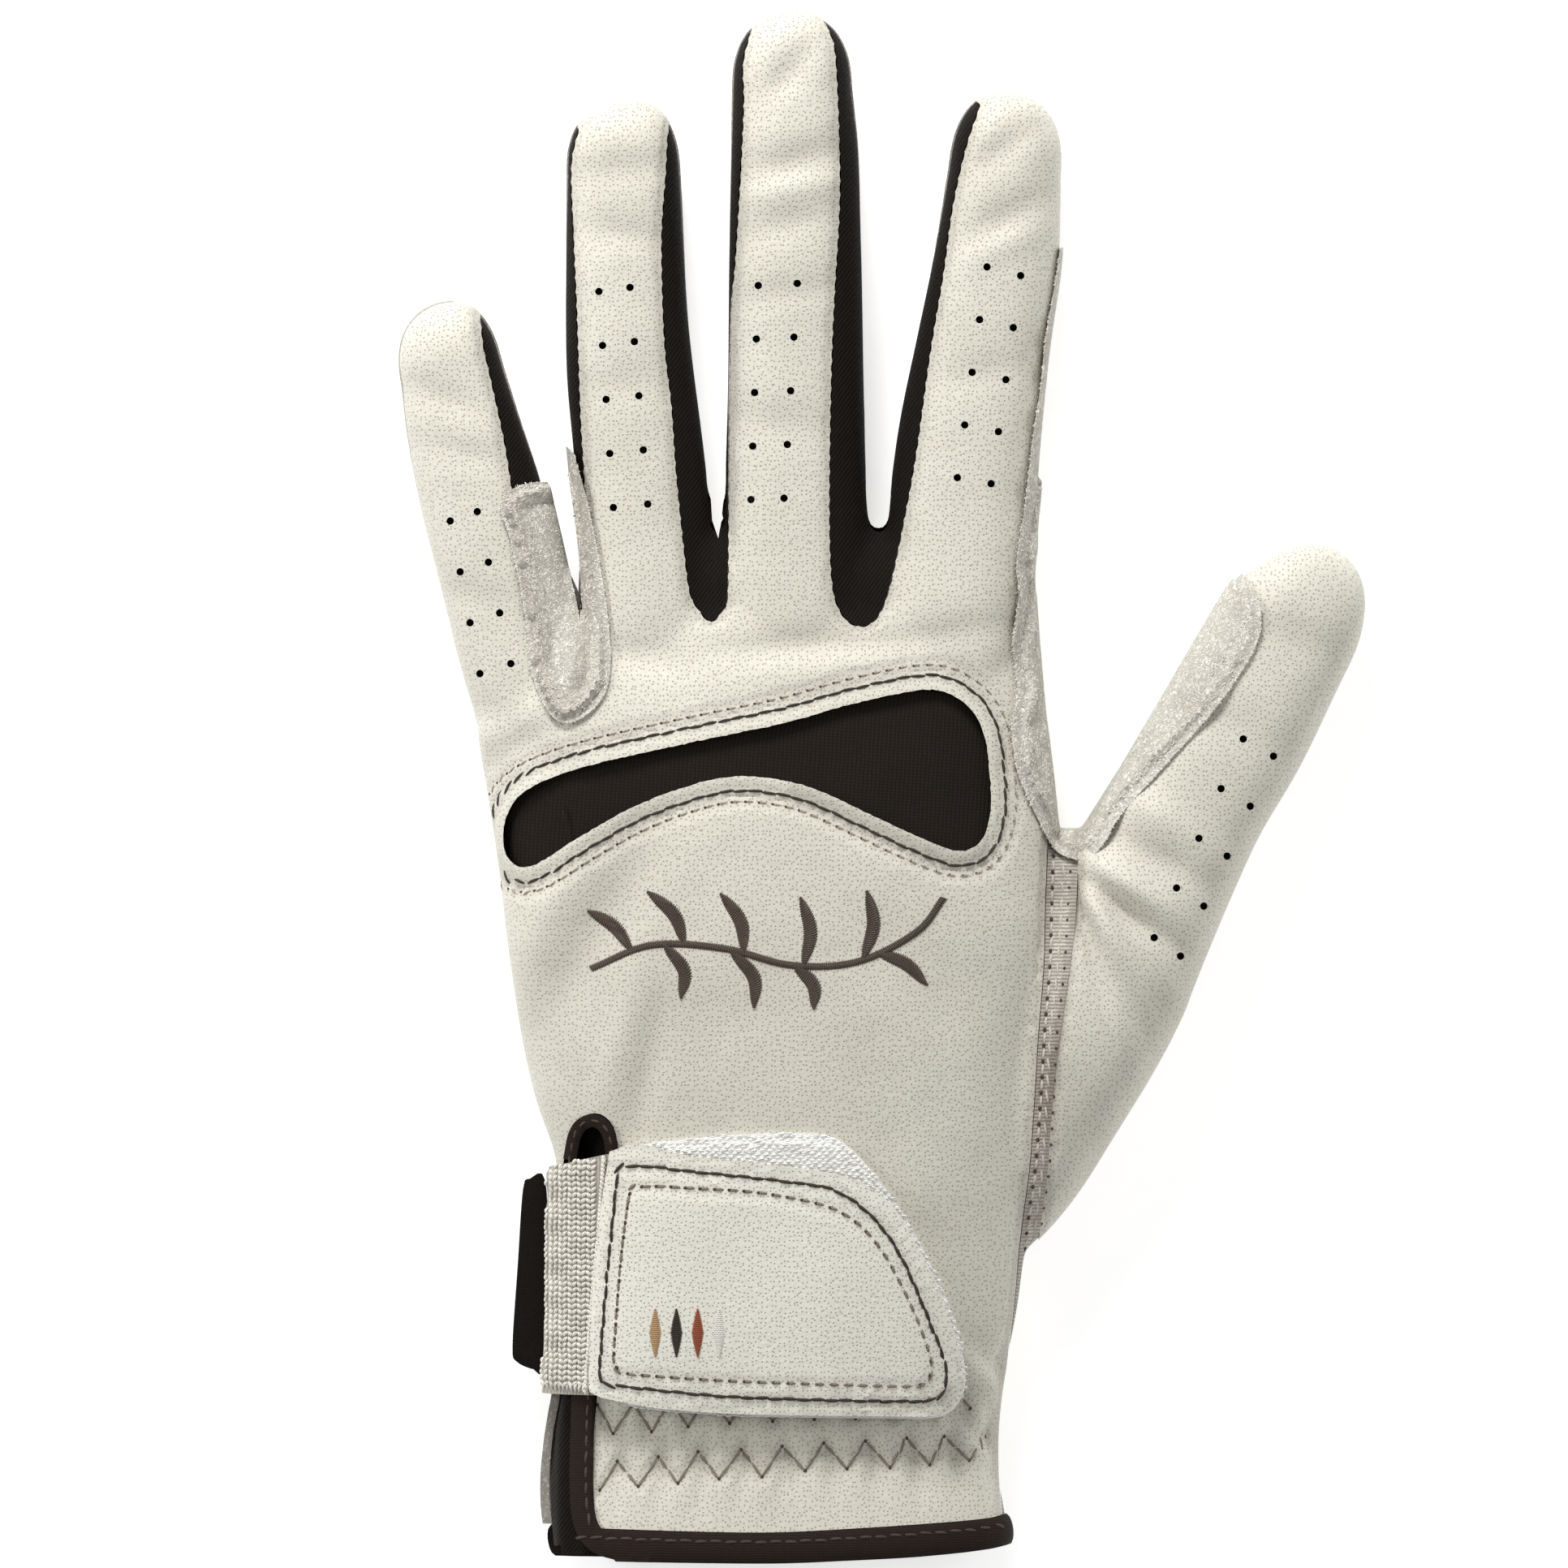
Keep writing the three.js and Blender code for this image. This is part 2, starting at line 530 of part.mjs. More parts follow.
function ventGusset() {
  const outer = -leatherWall - 2 * seamGap;
  const outline = onHand([
    [-0.7, 0.012], [-0.33, 0.012], [-0.30, 0.06], [-0.315, 0.2], [-0.285, 0.43], [-0.31, 0.475], [-0.37, 0.485],
    [-0.41, 0.45], [-0.7, 0.24],
  ]);
  return wall(outer - knitWall, outer).intersect(prism(outline, fingerSeamHeight));
}

// Suede patches lie over the leather where the reins run.
function suedePatch(outline, bottom) {
  return wall(seamGap, seamGap + suedeWall).intersect(prism(outline, bottom));
}

function reinPatch() {
  return suedePatch(onHand([
    [-0.524, 1.096], [-0.506, 1.110], [-0.463, 1.114], [-0.39, 1.112], [-0.398, 1.147], [-0.378, 1.144],
    [-0.363, 1.096], [-0.341, 1.041], [-0.326, 0.986], [-0.317, 0.932], [-0.330, 0.901], [-0.354, 0.887],
    [-0.378, 0.880], [-0.402, 0.872], [-0.427, 0.877], [-0.445, 0.890], [-0.463, 0.911], [-0.473, 0.945],
    [-0.480, 0.993], [-0.488, 1.021], [-0.506, 1.068],
  ]), patchFoot);
}

function thumbPatch() {
  return suedePatch(onHand([
    [0.512, 1.353], [0.499, 1.322], [0.482, 1.267], [0.476, 1.233], [0.459, 1.164], [0.441, 1.096], [0.429, 1.027],
    [0.427, 0.959], [0.423, 0.890], [0.429, 0.829], [0.445, 0.801], [0.470, 0.771], [0.491, 0.743], [0.524, 0.733],
    [0.561, 0.731], [0.589, 0.747], [0.622, 0.777], [0.695, 0.822], [0.793, 0.884], [0.860, 0.942], [0.876, 0.966],
    [0.870, 1.000], [0.852, 1.018], [0.78, 1.06], [0.6, 1.3], [0.56, 1.36],
  ]), patchFoot);
}

// The strap end and its fastening, in millimetres from the tab's lower left corner
const tabFoot = { x: -0.360 * palmBreadth, y: 0.160 * palmLength };

function tabShape(outset) {
  const at = (across, up) => new THREE.Vector2(tabFoot.x + across * tabBreadth, tabFoot.y + up * tabHeight);
  const shape = new THREE.Shape();
  const move = (method, ...points) => shape[method](...points.flatMap((point) => point.toArray()));
  move('moveTo', at(0.062, 0.98));
  move('lineTo', at(0.004, 0.08));
  move('quadraticCurveTo', at(0, 0.04), at(0.04, 0.033));
  move('lineTo', at(0.5, -0.012));
  move('lineTo', at(0.90, -0.022));
  move('quadraticCurveTo', at(1, -0.02), at(1, 0.155));
  move('bezierCurveTo', at(0.985, 0.34), at(0.87, 0.715), at(0.75, 0.85));
  move('bezierCurveTo', at(0.65, 0.93), at(0.40, 0.94), at(0.16, 1.005));
  return grown(shape.getPoints(4), outset);
}

const tabBottom = seamGap + loopWall + seamGap + hookWall + seamGap;
const elasticTop = tabBottom - seamGap;

function closureTab() {
  return wall(tabBottom, tabBottom + leatherWall).intersect(prism(tabShape(0), sideSeamHeight));
}

function hookPatch() {
  const outline = onHand([[-0.12, 0.185], [0.26, 0.185], [0.25, 0.26], [0.19, 0.335], [0.12, 0.365], [-0.12, 0.38]]);
  const bottom = seamGap + loopWall + seamGap;
  return wall(bottom, bottom + hookWall).intersect(prism(outline, sideSeamHeight));
}

function loopPatch() {
  const outline = onHand([
    [-0.282, 0.165], [0, 0.153], [0.25, 0.1495], [0.305, 0.152], [0.335, 0.175], [0.330, 0.225], [0.310, 0.270],
    [0.280, 0.315], [0.245, 0.350], [0.2, 0.386], [0.150, 0.418], [0.120, 0.436], [0.085, 0.443], [0, 0.446],
    [-0.09, 0.444], [-0.2, 0.438], [-0.282, 0.432],
  ]);
  return wall(seamGap, seamGap + loopWall).intersect(prism(outline, sideSeamHeight));
}

function elasticStrap() {
  const foot = strapFoot / palmLength;
  const head = (strapFoot + strapLength) / palmLength;
  const outline = onHand([[-0.7, foot], [-0.31, foot], [-0.297, head + 0.004], [-0.38, head], [-0.7, head - 0.01]]);
  return wall(elasticTop - elasticWall, elasticTop).intersect(prism(outline, sideSeamHeight + seamGap / 2));
}

function sideLabel() {
  const outer = -wristReach * palmBreadth - labelOverhang;
  const foot = strapFoot + strapLength / 2 - labelLength / 2;
  const corner = labelCorner;
  const outline = [
    new THREE.Vector2(outer, foot + corner), new THREE.Vector2(outer + corner, foot),
    new THREE.Vector2(0, foot - corner), new THREE.Vector2(0, foot + labelLength - corner),
    new THREE.Vector2(outer + 2 * corner, foot + labelLength),
    new THREE.Vector2(outer + corner, foot + labelLength - corner),
  ];
  const bottom = sideSeamHeight - seamGap - 3 * labelWall;
  const slanted = prism(outline, bottom, bottom + labelWall);
  return slanted.subtract(hand(seamGap));
}

// Finishes of the materials
const finish = (color, roughness) => new THREE.MeshStandardMaterial({ color, roughness, metalness: 0 });
const backFinish = finish(0xd6d3c8, 0.6);
const suedeFinish = finish(0xcdc8c0, 0.95);
const knitFinish = finish(0x2b2520, 0.9);
const bindingFinish = finish(0x302621, 0.7);
const elasticFinish = finish(0xcdcac1, 0.9);
const loopFinish = finish(0xececea, 0.9);
const labelFinish = finish(0x1c1917, 0.8);

const glove = new THREE.Group();
glove.position.set(0, -palmRest, 0);

function addPiece(name, solid, material) {
  const mesh = solid.getMesh();
  const geometry = new THREE.BufferGeometry();
  geometry.setAttribute('position', new THREE.BufferAttribute(new Float32Array(mesh.vertProperties), 3));
  geometry.setIndex(new THREE.BufferAttribute(new Uint32Array(mesh.triVerts), 1));
  const piece = new THREE.Mesh(geometry, material);
  piece.name = name;
  glove.add(piece);
}

addPiece('back_leather', backLeather(), backFinish);
addPiece('palm_leather', palmLeather(), suedeFinish);
for (const name of Object.keys(forks)) addPiece(`fourchette_${name}`, fork(name), knitFinish);
addPiece('thumb_back', thumbBack(), backFinish);
addPiece('thumb_palm', thumbPalm(), suedeFinish);
addPiece('thumb_seam_strip', seamStrip(), suedeFinish);
addPiece('knuckle_panel', knucklePanel(), knitFinish);
addPiece('rein_patch', reinPatch(), suedeFinish);
addPiece('thumb_patch', thumbPatch(), suedeFinish);
addPiece('vent_gusset', ventGusset(), knitFinish);
addPiece('cuff_binding', cuffBinding(), bindingFinish);
addPiece('loop_patch', loopPatch(), loopFinish);
addPiece('hook_patch', hookPatch(), knitFinish);
addPiece('closure_tab', closureTab(), backFinish);
addPiece('elastic_strap', elasticStrap(), elasticFinish);
addPiece('side_label', sideLabel(), labelFinish);

const part = new THREE.Group();
part.add(glove);
export default part;
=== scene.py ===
# %% [markdown]
# # A riding glove, lying on its palm
#
# A glove is a bag of many small panels sewn edge to edge. The looks of the real one come from four things:
# the soft form that all the panels share, the seams that pull that form in, the rows of stitches, and the
# grain of each cloth. This lesson makes them in that order. Lengths are written in millimetres along the
# glove: across from its middle, along from its cuff, and up from the surface that it lies on.

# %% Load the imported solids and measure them
import math

import bpy
import numpy as np
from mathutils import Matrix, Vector, noise
from mathutils.bvhtree import BVHTree


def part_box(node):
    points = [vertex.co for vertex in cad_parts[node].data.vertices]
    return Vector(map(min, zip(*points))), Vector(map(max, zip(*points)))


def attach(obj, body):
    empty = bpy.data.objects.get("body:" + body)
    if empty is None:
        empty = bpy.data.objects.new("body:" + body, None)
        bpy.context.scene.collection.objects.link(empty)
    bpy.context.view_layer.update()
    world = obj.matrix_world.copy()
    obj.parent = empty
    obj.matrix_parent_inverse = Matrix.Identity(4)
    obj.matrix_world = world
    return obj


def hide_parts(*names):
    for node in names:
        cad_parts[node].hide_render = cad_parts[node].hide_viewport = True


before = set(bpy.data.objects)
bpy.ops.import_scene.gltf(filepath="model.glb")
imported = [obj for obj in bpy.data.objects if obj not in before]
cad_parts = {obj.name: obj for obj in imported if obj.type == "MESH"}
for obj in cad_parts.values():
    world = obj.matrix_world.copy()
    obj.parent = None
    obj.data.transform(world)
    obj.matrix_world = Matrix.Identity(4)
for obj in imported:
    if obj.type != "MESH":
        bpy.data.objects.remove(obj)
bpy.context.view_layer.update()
MM = 0.001
PALM_LENGTH = 146
REST_SHARE = 0.582
PALM_REST = REST_SHARE * PALM_LENGTH
print("solids:", len(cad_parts))

# %% [markdown]
# ## The camera and the lights
#
# The camera looks straight down from three metres up through a long lens, as it does in a product photo, so
# the sides of the fingers hardly spread. Large soft lights stand round a pale floor. The strongest one stands
# beyond the fingertips and another to the left, both low, so folds and gathers read as a light and a dark
# side.

# %% Camera, lights and floor
FRAME_WIDTH = 237.3
CAMERA_HEIGHT = 3000
FRAME_CENTRE = (0.0, 117.8)
MEAN_HEIGHT = 13
SENSOR_WIDTH = 36
LIGHT_AIM = (0, 120, 0)
WORLD_LIGHT = 0.29
FLOOR_WIDTH = 4.0
FLOOR_DROP = 0.0002
WHITE = (1, 1, 1, 1)


def place(x, y, z=0.0):
    """A point of the glove, in millimetres, as Blender's metres."""
    return Vector((x * MM, (y - PALM_REST) * MM, z * MM))


def deselect():
    bpy.ops.object.select_all(action="DESELECT")


def select(piece):
    """Selects one piece alone and makes it the active one."""
    deselect()
    bpy.context.view_layer.objects.active = piece
    piece.select_set(True)


deselect()
bpy.ops.object.camera_add(location=place(*FRAME_CENTRE, CAMERA_HEIGHT + MEAN_HEIGHT), rotation=(0, 0, 0))
camera = bpy.context.object
camera.data.sensor_width = SENSOR_WIDTH
camera.data.lens = SENSOR_WIDTH * CAMERA_HEIGHT / FRAME_WIDTH
bpy.context.scene.camera = camera


def softbox(name, at, size, watts):
    """A square area light at a place, turned towards the middle of the glove."""
    bpy.ops.object.light_add(type="AREA", location=place(*at))
    light = bpy.context.object
    light.name = name
    light.data.size = size * MM
    light.data.energy = watts
    light.rotation_euler = (place(*LIGHT_AIM) - place(*at)).to_track_quat("-Z", "Y").to_euler()


softbox("key_light", at=(-150, 880, 420), size=300, watts=7.6)
softbox("side_light", at=(-760, 240, 400), size=300, watts=2.9)
softbox("fill_light", at=(700, 200, 620), size=700, watts=2.1)
softbox("low_light", at=(60, -640, 560), size=600, watts=0.9)

world = bpy.data.worlds.new("studio")
bpy.context.scene.world = world
world.use_nodes = True
background = world.node_tree.nodes["Background"]
background.inputs["Color"].default_value = WHITE
background.inputs["Strength"].default_value = WORLD_LIGHT
bpy.context.scene.view_settings.view_transform = "Standard"

bpy.ops.mesh.primitive_plane_add(size=FLOOR_WIDTH, location=(0, 0, -FLOOR_DROP))
floor = bpy.context.object
floor.name = "pale_floor"

# %% [markdown]
# ## Tables that describe the glove
#
# Each soft tube is written as rows of a table, one row for a section: how far it reaches to the left and
# right of the tube's axis, and how high its top and its flat underside are. A table is easier to read and to
# mend than a long list of points, and the same rows can be drawn as finely as wanted.

# %% Sections of the six tubes


def table(columns, rows):
    """Rows of numbers, each read by the names of its columns."""
    return [dict(zip(columns, row)) for row in rows]


SECTION = ("along", "left", "right", "top", "under")


def tube(root, lean, length, tip_fullness, rows):
    """One soft tube: its start, lean, length, how blunt its tip is, and its sections."""
    return {"root": root, "lean": lean, "length": length, "tip_fullness": tip_fullness,
            "rows": table(SECTION, rows)}


tubes = {
    "hand": tube((0, 0), lean=0, length=158, tip_fullness=2.0, rows=[
        (-9.0, 36.8, 34.8, 25.0, 0.9),
        (2.0, 36.8, 34.4, 24.6, 0.9),
        (8.0, 37.4, 33.6, 23.6, 0.8),
        (14.0, 37.2, 32.6, 22.5, 0.4),
        (20.0, 36.4, 32.6, 21.9, 0.1),
        (27.0, 35.2, 33.4, 22.3, 0.0),
        (38.0, 34.6, 35.5, 23.6, 0.0),
        (50.0, 34.4, 37.0, 24.8, 0.0),
        (61.0, 34.6, 38.2, 25.7, 0.0),
        (70.0, 37.6, 39.2, 26.3, 0.0),
        (82.0, 40.2, 40.4, 26.9, 0.0),
        (95.0, 42.0, 41.2, 26.9, 0.0),
        (107.0, 43.5, 41.0, 26.0, 0.0),
        (118.0, 45.2, 40.0, 24.3, 0.0),
        (128.0, 46.4, 38.8, 22.0, 0.2),
        (137.0, 43.5, 38.0, 19.4, 0.5),
        (145.0, 36.0, 37.4, 16.6, 0.8),
    ]),
    "little": tube((-38.0, 128.0), lean=-12.1, length=64.6, tip_fullness=2.3, rows=[
        (-13.0, 7.6, 7.9, 16.0, 0.2),
        (0.0, 8.5, 9.2, 17.0, 0.2),
        (14.0, 9.4, 9.3, 16.0, 0.7),
        (25.0, 9.7, 9.2, 15.3, 0.9),
        (35.0, 10.1, 8.9, 14.7, 1.0),
        (45.0, 9.9, 7.7, 13.9, 0.8),
        (53.5, 9.1, 6.8, 12.9, 0.3),
    ]),
    "ring": tube((-20.0, 140.0), lean=-2.8, length=82.1, tip_fullness=2.3, rows=[
        (-14.0, 8.8, 8.8, 17.2, 0.6),
        (0.0, 9.5, 9.8, 18.2, 0.6),
        (15.0, 10.3, 10.3, 17.2, 0.9),
        (30.0, 11.0, 9.5, 16.4, 1.1),
        (40.0, 11.4, 8.7, 15.9, 1.1),
        (50.0, 11.1, 8.1, 15.3, 0.9),
        (60.0, 10.5, 8.0, 14.7, 0.6),
        (71.0, 9.7, 7.9, 13.7, 0.2),
    ]),
    "middle": tube((1.2, 140.0), lean=0, length=95.2, tip_fullness=2.3, rows=[
        (-14.0, 9.6, 10.2, 17.8, 0.6),
        (0.0, 10.6, 12.4, 18.4, 0.6),
        (12.5, 11.0, 12.7, 17.7, 0.9),
        (22.0, 10.6, 11.8, 17.1, 1.0),
        (35.0, 10.2, 11.4, 16.4, 1.1),
        (60.0, 9.9, 10.9, 15.3, 0.9),
        (75.0, 9.5, 10.3, 14.5, 0.5),
        (83.5, 9.3, 9.3, 13.6, 0.2),
    ]),
    "index": tube((26.0, 140.0), lean=5.4, length=83.4, tip_fullness=2.3, rows=[
        (-14.0, 10.4, 9.3, 17.2, 0.6),
        (0.0, 12.2, 10.2, 18.2, 0.6),
        (15.0, 12.4, 9.9, 17.4, 0.9),
        (31.0, 12.0, 9.5, 16.5, 1.1),
        (45.0, 10.5, 9.6, 15.7, 1.0),
        (59.0, 8.9, 10.2, 14.9, 0.7),
        (71.5, 7.9, 9.4, 13.8, 0.2),
    ]),
    "thumb": tube((27.5, 51.0), lean=29, length=116.8, tip_fullness=2.1, rows=[
        (-7.0, 4.8, 7.2, 14.0, 4.0),
        (7.0, 6.7, 11.8, 17.6, 1.8),
        (23.0, 9.6, 13.3, 20.0, 0.6),
        (41.0, 13.2, 13.6, 20.9, 0.2),
        (51.5, 13.2, 12.4, 20.8, 0.1),
        (62.0, 12.7, 11.3, 20.2, 0.1),
        (73.0, 12.1, 10.4, 19.0, 0.2),
        (85.0, 11.8, 10.7, 17.7, 0.2),
        (101.0, 11.4, 9.9, 15.8, 0.1),
    ]),
}

# %% [markdown]
# ## The soft form
#
# A ball has a pole at each end and rings between, which is just what a glove finger needs: its rings become
# the sections and a pole becomes the fingertip. All six tubes are joined, and a voxel remesh melts them into
# one skin. A few rounds of smoothing then soften the valleys where they meet, as a leather sheet would.
# Drawing the whole skin by hand would take far longer, and a boolean union would leave hard creases there.

# %% Build one tube from a ball
TUBE_SIDES = 96
TUBE_RINGS = 120
SECTION_FULLNESS = 2.5
WIDE_HEIGHT = 0.42
ROOT_SHARE = 0.08
TIP_SHARE = 0.80
UNDER_SWELL = 1.08
SHIFT = np.array([0, PALM_REST, 0])


def axes_of(lean):
    """The direction along a leaning tube, and the one to its right."""
    lean = math.radians(lean)
    return np.array([math.sin(lean), math.cos(lean)]), np.array([math.cos(lean), -math.sin(lean)])


def smooth_between(rows, along):
    """Each column of a table at other places along it, on a smooth curve through the rows."""
    keys = np.array([row["along"] for row in rows])
    values = np.array([[row[column] for column in SECTION[1:]] for row in rows])
    slopes = np.gradient(values, keys, axis=0)
    spot = np.clip(np.searchsorted(keys, along) - 1, 0, len(keys) - 2)
    step = keys[spot + 1] - keys[spot]
    share = np.clip((along - keys[spot]) / step, 0, 1)[:, None]
    step = step[:, None]
    here = (2 * share**3 - 3 * share**2 + 1) * values[spot]
    leaving = (share**3 - 2 * share**2 + share) * step * slopes[spot]
    beyond = (3 * share**2 - 2 * share**3) * values[spot + 1]
    arriving = (share**3 - share**2) * step * slopes[spot + 1]
    return here + leaving + beyond + arriving


def points_of(piece):
    """A piece's points in millimetres along the glove."""
    flat = np.empty(len(piece.data.vertices) * 3)
    piece.data.vertices.foreach_get("co", flat)
    return flat.reshape(-1, 3) / MM + SHIFT


def set_points(piece, points):
    """Moves a piece's points to places in millimetres along the glove."""
    piece.data.vertices.foreach_set("co", ((points - SHIFT) * MM).ravel())
    piece.data.update()


def normals_of(piece):
    flat = np.empty(len(piece.data.vertices) * 3)
    piece.data.vertex_normals.foreach_get("vector", flat)
    return flat.reshape(-1, 3)


def soft_tube(name):
    """A ball whose rings are moved to the sections of a tube."""
    described = tubes[name]
    bpy.ops.mesh.primitive_uv_sphere_add(segments=TUBE_SIDES, ring_count=TUBE_RINGS, radius=MM)
    piece = bpy.context.object
    piece.name = name
    ball = np.empty(len(piece.data.vertices) * 3)
    piece.data.vertices.foreach_get("co", ball)
    ball = ball.reshape(-1, 3) / MM
    share = 1 - np.arccos(np.clip(ball[:, 2], -1, 1)) / math.pi
    turn = np.arctan2(ball[:, 1], ball[:, 0])
    first = described["rows"][0]["along"]
    last = described["rows"][-1]["along"]
    body = np.clip((share - ROOT_SHARE) / (TIP_SHARE - ROOT_SHARE), 0, 1)
    tip = np.clip((share - TIP_SHARE) / (1 - TIP_SHARE), 0, 1) * math.pi / 2
    power = 2 / described["tip_fullness"]
    along = first + (last - first) * body + (described["length"] - last) * np.sin(tip)**power
    scale = np.maximum(np.cos(tip), 0)**power * np.clip(share / ROOT_SHARE, 0, 1)
    left, right, top, under = smooth_between(described["rows"], np.minimum(along, last)).T
    middle = under + (top - under) * WIDE_HEIGHT
    cos, sin = np.cos(turn), np.sin(turn)
    section = 2 / SECTION_FULLNESS
    across = np.sign(cos) * np.abs(cos)**section * np.where(cos < 0, left, right) * scale
    rise = np.where(sin < 0, (middle - under) * UNDER_SWELL, top - middle)
    up = np.maximum(middle + np.sign(sin) * np.abs(sin)**section * rise * scale, under)
    axis, side = axes_of(described["lean"])
    flat = np.array(described["root"]) + along[:, None] * axis + across[:, None] * side
    set_points(piece, np.column_stack([flat, up]))
    return piece


# %% [markdown]
# ## One skin from all the tubes
#
# The two widest crotches of a real glove are rounded by their webs, so a ball is added at each. A fine skin
# becomes the outer face of the leather and a coarse one its hidden inner face, which needs far fewer faces.

# %% Join the tubes and melt them into one skin
FINE = 0.7
FINE_ROUNDS = 14
COARSE = 1.5
COARSE_ROUNDS = 3


def apply(piece, kind, **settings):
    """Adds a modifier to a piece, sets it and applies it."""
    modifier = piece.modifiers.new(kind.lower(), kind)
    for key, value in settings.items():
        setattr(modifier, key, value)
    select(piece)
    bpy.ops.object.modifier_apply(modifier=modifier.name)


def smooth(piece, rounds):
    apply(piece, "SMOOTH", factor=0.5, iterations=rounds)


def melt(piece, voxel, rounds):
    """Melts the parts of a piece into one skin, and softens it."""
    apply(piece, "REMESH", mode="VOXEL", voxel_size=voxel * MM)
    smooth(piece, rounds)


def duplicate(piece, name):
    select(piece)
    bpy.ops.object.duplicate()
    copy = bpy.context.object
    copy.name = name
    return copy


def join(pieces, name):
    deselect()
    for piece in pieces:
        piece.select_set(True)
    bpy.context.view_layer.objects.active = pieces[0]
    bpy.ops.object.join()
    pieces[0].name = name
    return pieces[0]


def web(at, radius, stretch, sides):
    """A ball that rounds a crotch, stretched upwards."""
    deselect()
    bpy.ops.mesh.primitive_uv_sphere_add(segments=sides, ring_count=sides // 2, radius=radius * MM,
                                         location=place(*at))
    bpy.context.object.scale = (1.0, 1.0, stretch)
    bpy.ops.object.transform_apply(location=True, scale=True)
    return bpy.context.object


parts = [soft_tube(name) for name in tubes]
parts.append(web(at=(43.2, 102.6, 9.4), radius=7.6, stretch=0.9, sides=48))
parts.append(web(at=(-11.8, 151.8, 8.6), radius=3.4, stretch=1.9, sides=32))
for part in parts:
    select(part)
    bpy.ops.object.mode_set(mode="EDIT")
    bpy.ops.mesh.select_all(action="SELECT")
    bpy.ops.mesh.normals_make_consistent(inside=False)
    bpy.ops.object.mode_set(mode="OBJECT")
form = join(parts, "form")
coarse_form = duplicate(form, "coarse_form")
melt(form, FINE, FINE_ROUNDS)
melt(coarse_form, COARSE, COARSE_ROUNDS)
print("form:", len(form.data.polygons), "faces, coarse:", len(coarse_form.data.polygons))

# %% [markdown]
# ## Outlines of the panels
#
# A pattern cutter draws panels flat, and so do we: every seam is a line on the plan of the glove, and a panel
# is what an upright cutter of that outline leaves of the skin. Smooth curves through a few points give the
# long edges.

# %% Lines drawn on the plan


def curve(points, step=0.6, closed=False):
    """A smooth line through a few points, in short equal steps."""
    keys = np.array(points, float)
    if closed:
        keys = np.vstack([keys[-1], keys, keys[0], keys[1]])
    else:
        keys = np.vstack([2 * keys[0] - keys[1], keys, 2 * keys[-1] - keys[-2]])
    out = []
    for before, here, after, beyond in zip(keys[:-3], keys[1:-2], keys[2:-1], keys[3:]):
        count = max(2, int(np.linalg.norm(after - here) / step))
        share = np.linspace(0, 1, count, endpoint=False)[:, None]
        bend = 2 * before - 5 * here + 4 * after - beyond
        twist = 3 * here - before - 3 * after + beyond
        out.append(0.5 * (2 * here + (after - before) * share + bend * share**2 + twist * share**3))
    if not closed:
        out.append(keys[-2:-1])
    return np.vstack(out)


def even(line, step, closed=False):
    """The same line again, in equal steps."""
    if closed:
        line = np.vstack([line, line[:1]])
    lengths = np.concatenate([[0], np.cumsum(np.linalg.norm(np.diff(line, axis=0), axis=1))])
    count = max(2, int(round(lengths[-1] / step)) + 1)
    wanted = np.linspace(0, lengths[-1], count)
    points = np.column_stack([np.interp(wanted, lengths, line[:, axis]) for axis in range(line.shape[1])])
    return points[:-1] if closed else points


def sideways(line, closed=False):
    """The direction to the left of a line at each of its points."""
    if closed:
        ahead = np.roll(line, -1, axis=0) - np.roll(line, 1, axis=0)
    else:
        ahead = np.gradient(line, axis=0)
    ahead = ahead / np.maximum(np.linalg.norm(ahead, axis=1, keepdims=True), 1e-9)
    return np.column_stack([-ahead[:, 1], ahead[:, 0]])


def offset(line, distance, closed=False):
    """A line beside another: to its left, or outside a closed one that runs clockwise."""
    return line + sideways(line, closed) * distance


def double_area(line):
    """Twice the area of a closed line, below nothing where it runs clockwise."""
    turned = np.roll(line, -1, axis=0)
    return np.sum(line[:, 0] * turned[:, 1] - turned[:, 0] * line[:, 1])


def clockwise(line):
    return line if double_area(line) < 0 else line[::-1]


def distance_to(points, line, closed=False, reach=12.0):
    """How far each point is from a line, up to a reach."""
    line = np.vstack([line, line[:1]]) if closed else line
    result = np.full(len(points), reach)
    low, high = line.min(0) - reach, line.max(0) + reach
    near = np.where(np.all((points[:, :2] > low) & (points[:, :2] < high), axis=1))[0]
    for chunk in np.array_split(near, max(1, len(near) // 4000)):
        spots = points[chunk, None, :2]
        start, step = line[:-1][None], np.diff(line, axis=0)[None]
        share = np.clip(((spots - start) * step).sum(2) / np.maximum((step**2).sum(2), 1e-9), 0, 1)
        gap = np.linalg.norm(spots - start - share[..., None] * step, axis=2).min(1)
        result[chunk] = np.minimum(gap, reach)
    return result


def inside(points, outline):
    """Which points lie inside a closed outline."""
    x, y = points[:, 0], points[:, 1]
    result = np.zeros(len(points), bool)
    low, high = outline.min(0), outline.max(0)
    near = np.where((x > low[0]) & (x < high[0]) & (y > low[1]) & (y < high[1]))[0]
    ends = np.roll(outline, -1, axis=0)
    count = np.zeros(len(near), int)
    for (x0, y0), (x1, y1) in zip(outline, ends):
        if y0 == y1:
            continue
        crossing = (y[near] > min(y0, y1)) & (y[near] <= max(y0, y1))
        count += crossing & (x[near] < x0 + (y[near] - y0) * (x1 - x0) / (y1 - y0))
    result[near] = count % 2 == 1
    return result


# %% [markdown]
# ## The lines of this glove
#
# Each fork is drawn down one finger, round the crotch and up the next, then closed above the fingertips,
# where nothing is left to cut. The other outlines run past the edge of the hand in the same way, so that only
# the seams that show need many points.

